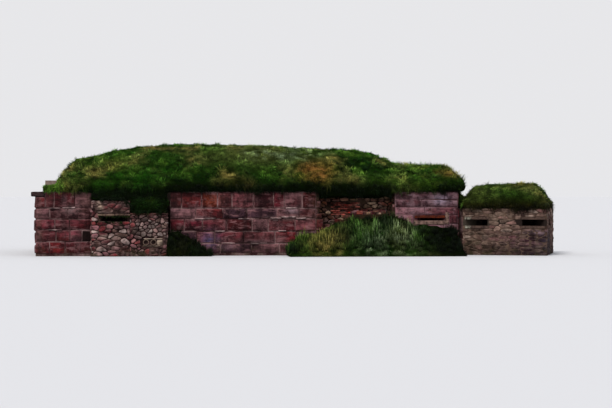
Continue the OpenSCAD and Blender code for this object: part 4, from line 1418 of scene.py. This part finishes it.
def sow(name, bodies, tufts, blades, shortest, longest, width, seed, wanted,
        upright=0.45, spread=0.75, droop=0.65, shades=(0.35, 0.7, 1.0, 1.3, 2.3), around=0.09):
    """Tufts of grass over the faces of some bodies that face up, at the places wanted."""
    steepest = 0.05
    windy_height = 3.9
    draw = np.random.default_rng(seed)
    corners = []
    for body in bodies:
        mesh = body.data
        mesh.calc_loop_triangles()
        places = np.empty(len(mesh.vertices) * 3)
        mesh.vertices.foreach_get("co", places)
        picks = np.empty(len(mesh.loop_triangles) * 3, dtype=np.int32)
        mesh.loop_triangles.foreach_get("vertices", picks)
        corners.append(places.reshape(-1, 3)[picks.reshape(-1, 3)])
    corners = np.concatenate(corners)
    crossed = np.cross(corners[:, 1] - corners[:, 0], corners[:, 2] - corners[:, 0])
    areas = np.linalg.norm(crossed, axis=1) / 2
    normals = crossed / (2 * areas[:, None] + 1e-12)
    middles = corners.mean(axis=1)
    weight = areas * (normals[:, 2] > steepest)
    weight *= wanted(middles[:, 0], middles[:, 1], middles[:, 2])
    picked = draw.choice(len(areas), size=tufts, p=weight / weight.sum())
    hearts = middles[picked]
    up = normals[picked]
    vigour = draw.uniform(0.65, 1.35, tufts)
    tints = np.empty((tufts, 3))
    for k in range(tufts):
        spot = Vector(hearts[k])
        heart = clump(spot)
        # Painted shade: tufts in the gaps between tussocks are darker than those at their hearts.
        tints[k] = turf_colour(spot) * (0.6 + 1.7 * heart) * draw.choice(shades)
        vigour[k] *= 0.75 + 0.6 * heart
        vigour[k] *= 1.0 - 0.45 * held((spot.z - windy_height) / 0.6)
        trodden = 2.0 < spot.x < 4.4 and front_y - 0.6 < spot.y < 0 and spot.z < 2
        if spot.x < mound_shoulder or trodden:
            vigour[k] *= 0.45
    lean = draw.normal(scale=0.25, size=(tufts, 3))
    count = tufts * blades
    owner = np.repeat(np.arange(tufts), blades)
    fan = draw.normal(size=(count, 3))
    fan -= up[owner] * np.sum(fan * up[owner], axis=1)[:, None]
    fan /= np.linalg.norm(fan, axis=1)[:, None] + 1e-9
    reach = draw.random(count)[:, None]
    roots = hearts[owner] + fan * reach * around - up[owner] * 0.03
    directions = up[owner] * 0.5 + np.array([0, 0, upright])
    directions = directions + fan * (0.15 + spread * reach) + lean[owner]
    directions /= np.linalg.norm(directions, axis=1)[:, None]
    lengths = draw.uniform(shortest, longest, count) * vigour[owner]
    sags = draw.uniform(0.15, droop, count)
    widths = draw.uniform(0.7, 1.3, count) * width
    blade_tints = tints[owner] * draw.uniform(0.75, 1.3, (count, 1))
    grow_blades(name, roots, directions, lengths, widths, sags, blade_tints, seed + 1)


def fringe(name, edges, locks, blades, shortest, longest, seed, shade=1.0):
    """Locks of blades that hang over edges. Each has two ends, an outward direction, a depth."""
    draw = np.random.default_rng(seed)
    roots, directions, lengths, tints = [], [], [], []
    for start, end, out, depth in edges:
        start = Vector(start)
        end = Vector(end)
        for _ in range(int((end - start).length * locks)):
            heart = start.lerp(end, draw.random()) + Vector((0, 0, draw.uniform(0, depth)))
            vigour = draw.uniform(0.6, 1.3) * (1 + 0.7 * noise.noise(heart * 1.3))
            tint = turf_colour(heart) * draw.choice([0.3, 0.6, 0.9, 1.4]) * shade
            along = (end - start).normalized()
            lean = draw.normal(scale=0.25)
            for _ in range(blades):
                root = heart + along * draw.normal(scale=0.035) - out * draw.uniform(0.02, 0.06)
                heading = out * draw.uniform(0.3, 0.9) + along * (lean + draw.normal(scale=0.2))
                heading += Vector((0, 0, draw.uniform(-0.5, 0.5)))
                roots.append(root)
                directions.append(heading.normalized())
                lengths.append(draw.uniform(shortest, longest) * vigour)
                tints.append(tint * draw.uniform(0.8, 1.25))
    count = len(roots)
    grow_blades(
        name, np.array(roots), np.array(directions), np.array(lengths),
        draw.uniform(0.014, 0.026, count), draw.uniform(0.8, 1.5, count), np.array(tints), seed + 1
    )


front_half = -0.4
sow(
    "mound_grass_front", [mound], 1580, 12, 0.14, 0.34, 0.022, 81,
    lambda x, y, z: (y < front_half) * (y > front_y - 0.2) * (z > 2.9),
    upright=0.8, spread=0.55, droop=0.5
)
sow(
    "mound_grass_rear", [mound], 560, 12, 0.14, 0.28, 0.03, 83,
    lambda x, y, z: (y >= front_half) * (z > 2.9) * (y < 4.15)
)
sow(
    "slump_grass", [mound], 300, 12, 0.12, 0.28, 0.02, 87,
    lambda x, y, z: (y < front_y - 0.1) * (z < wall_top + 0.2)
)
sow(
    "bank_grass", [bank, small_bank], 1050, 12, 0.16, 0.38, 0.022, 89,
    lambda x, y, z: (y > front_y - 1.75) * ((x < 7.2) + (x > 9.1) + (y < front_y - 0.45) > 0),
    upright=1.9, spread=0.35, droop=0.3, shades=(0.3, 0.5, 0.7, 1.0)
)
sow(
    "bank_tall_tufts", [bank], 300, 9, 0.28, 0.6, 0.02, 90,
    lambda x, y, z: (y > front_y - 1.6) * (y < front_y - 0.5) * (x < 7.6),
    upright=4.0, spread=0.2, droop=0.25, shades=(0.4, 0.8, 1.4, 2.1), around=0.2
)
sow(
    "bank_toe_grass", [bank, small_bank], 190, 8, 0.08, 0.16, 0.02, 92,
    lambda x, y, z: (z < 0.3) * (z > 0.02) * (y < front_y - 0.3) * (y > front_y - 1.8),
    upright=0.6, spread=0.7, droop=0.7, around=0.06
)
sow(
    "pillbox_grass", [cap, link_earth], 500, 12, 0.1, 0.22, 0.02, 91,
    lambda x, y, z: z > pillbox_top + 0.02
)
rim_low, rim_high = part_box("mound_edge")
lip = rim_low.z + 0.04
rim_front = rim_low.y + 0.04
rim_rear = rim_high.y - 0.04
rim_east = rim_high.x - 0.04
brow_low, brow_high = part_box("turf_brow")
brow_y = front_y - 0.02
brow_z = wall_top - 0.16
fringe("mound_front_fringe", [
    ((rim_low.x + 0.05, rim_front, lip), (rim_high.x, rim_front, lip), -north, 0.3),
    ((brow_low.x, brow_y, brow_z), (brow_high.x, brow_y, brow_z), -north, 0.2),
], 26, 10, 0.08, 0.21, 93)
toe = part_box("turf_mound")[0]
toe_x = toe.x + 0.04
toe_z = toe.z + 0.03
fringe("mound_rear_fringe", [
    ((rim_low.x, rim_rear, lip), (rim_high.x, rim_rear, lip), north, 0.3),
    ((toe_x, front_y + 0.5, toe_z), (toe_x, rear_y - 0.5, toe_z), -east, 0.1),
    ((rim_east, rim_low.y, lip), (rim_east, rim_high.y, lip), east, 0.3),
], 10, 10, 0.08, 0.18, 95)
cap_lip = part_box("pillbox_turf_edge")[0].z + 0.03
over = 0.06


def cap_edge(start, end, out, depth=0.25, drop=0.0):
    """A lip of the pillbox's turf between two places, given across and inward on its plan."""
    ends = []
    for across, inward in (start, end):
        spot = pillbox_corner + pillbox_along * across + pillbox_inward * inward
        ends.append(spot + Vector((0, 0, cap_lip)) - Vector((0, 0, drop)))
    return (*ends, out, depth)


past_width = pillbox_width + over
past_depth = pillbox_depth + over
inside = pillbox_width - over
fringe("pillbox_fringe", [
    cap_edge((-over, -over), (past_width, -over), -pillbox_inward),
    cap_edge((inside, -over), (inside, past_depth), pillbox_along),
    cap_edge((-over, past_depth), (past_width, past_depth), pillbox_inward),
    cap_edge((-over, -over), (-over, past_depth), -pillbox_along),
], 26, 10, 0.08, 0.2, 97)
# Painted shade: the sod hanging over the pillbox's front is darkened to half.
fringe("pillbox_hanging_sod", [
    cap_edge((2.2, -over), (2.95, -over), -pillbox_inward, 0.14, 0.08),
], 45, 10, 0.1, 0.22, 98, 0.5)
moss_x = rubble_west + slit_left - 0.1
slit_edge = Vector((moss_x, front_y - on_batter(0, slit_high) - 0.04, slit_high + 0.02))
slit_sill = Vector((moss_x, front_y - on_batter(0, slit_low) - 0.04, slit_low - 0.04))
fringe("embrasure_moss", [
    (slit_edge, slit_edge + east * 1.4, -north, 0.03), (slit_sill, slit_sill + east * 1.3, -north, 0.04)
], 20, 9, 0.04, 0.11, 99, 1.2)
slump_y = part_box("turf_slump_east")[0].y - 0.03
step = rubble_west + step_x
head_lip = head_z + 0.06
ledge_lip = ledge_z + 0.05
fringe("slump_fringe", [
    ((rubble_west + 0.3, slump_y, head_lip), (step - 0.3, slump_y, head_lip), -north, 0.1),
    ((step - 0.32, slump_y, head_z), (step + 0.12, slump_y, ledge_z + 0.14), -north, 0.25),
    ((step, slump_y, ledge_lip), (rubble_east - 0.05, slump_y, ledge_lip), -north, 0.1),
], 22, 10, 0.07, 0.16, 101)
brow_x = rim_high.x - 0.1
fringe("mound_east_brow", [
    ((brow_x, rim_low.y + 0.1, 3.05), (brow_x, -1.5, 3.15), east, 0.5),
], 45, 10, 0.16, 0.34, 100)

bpy.context.scene.view_settings.view_transform = "Standard"
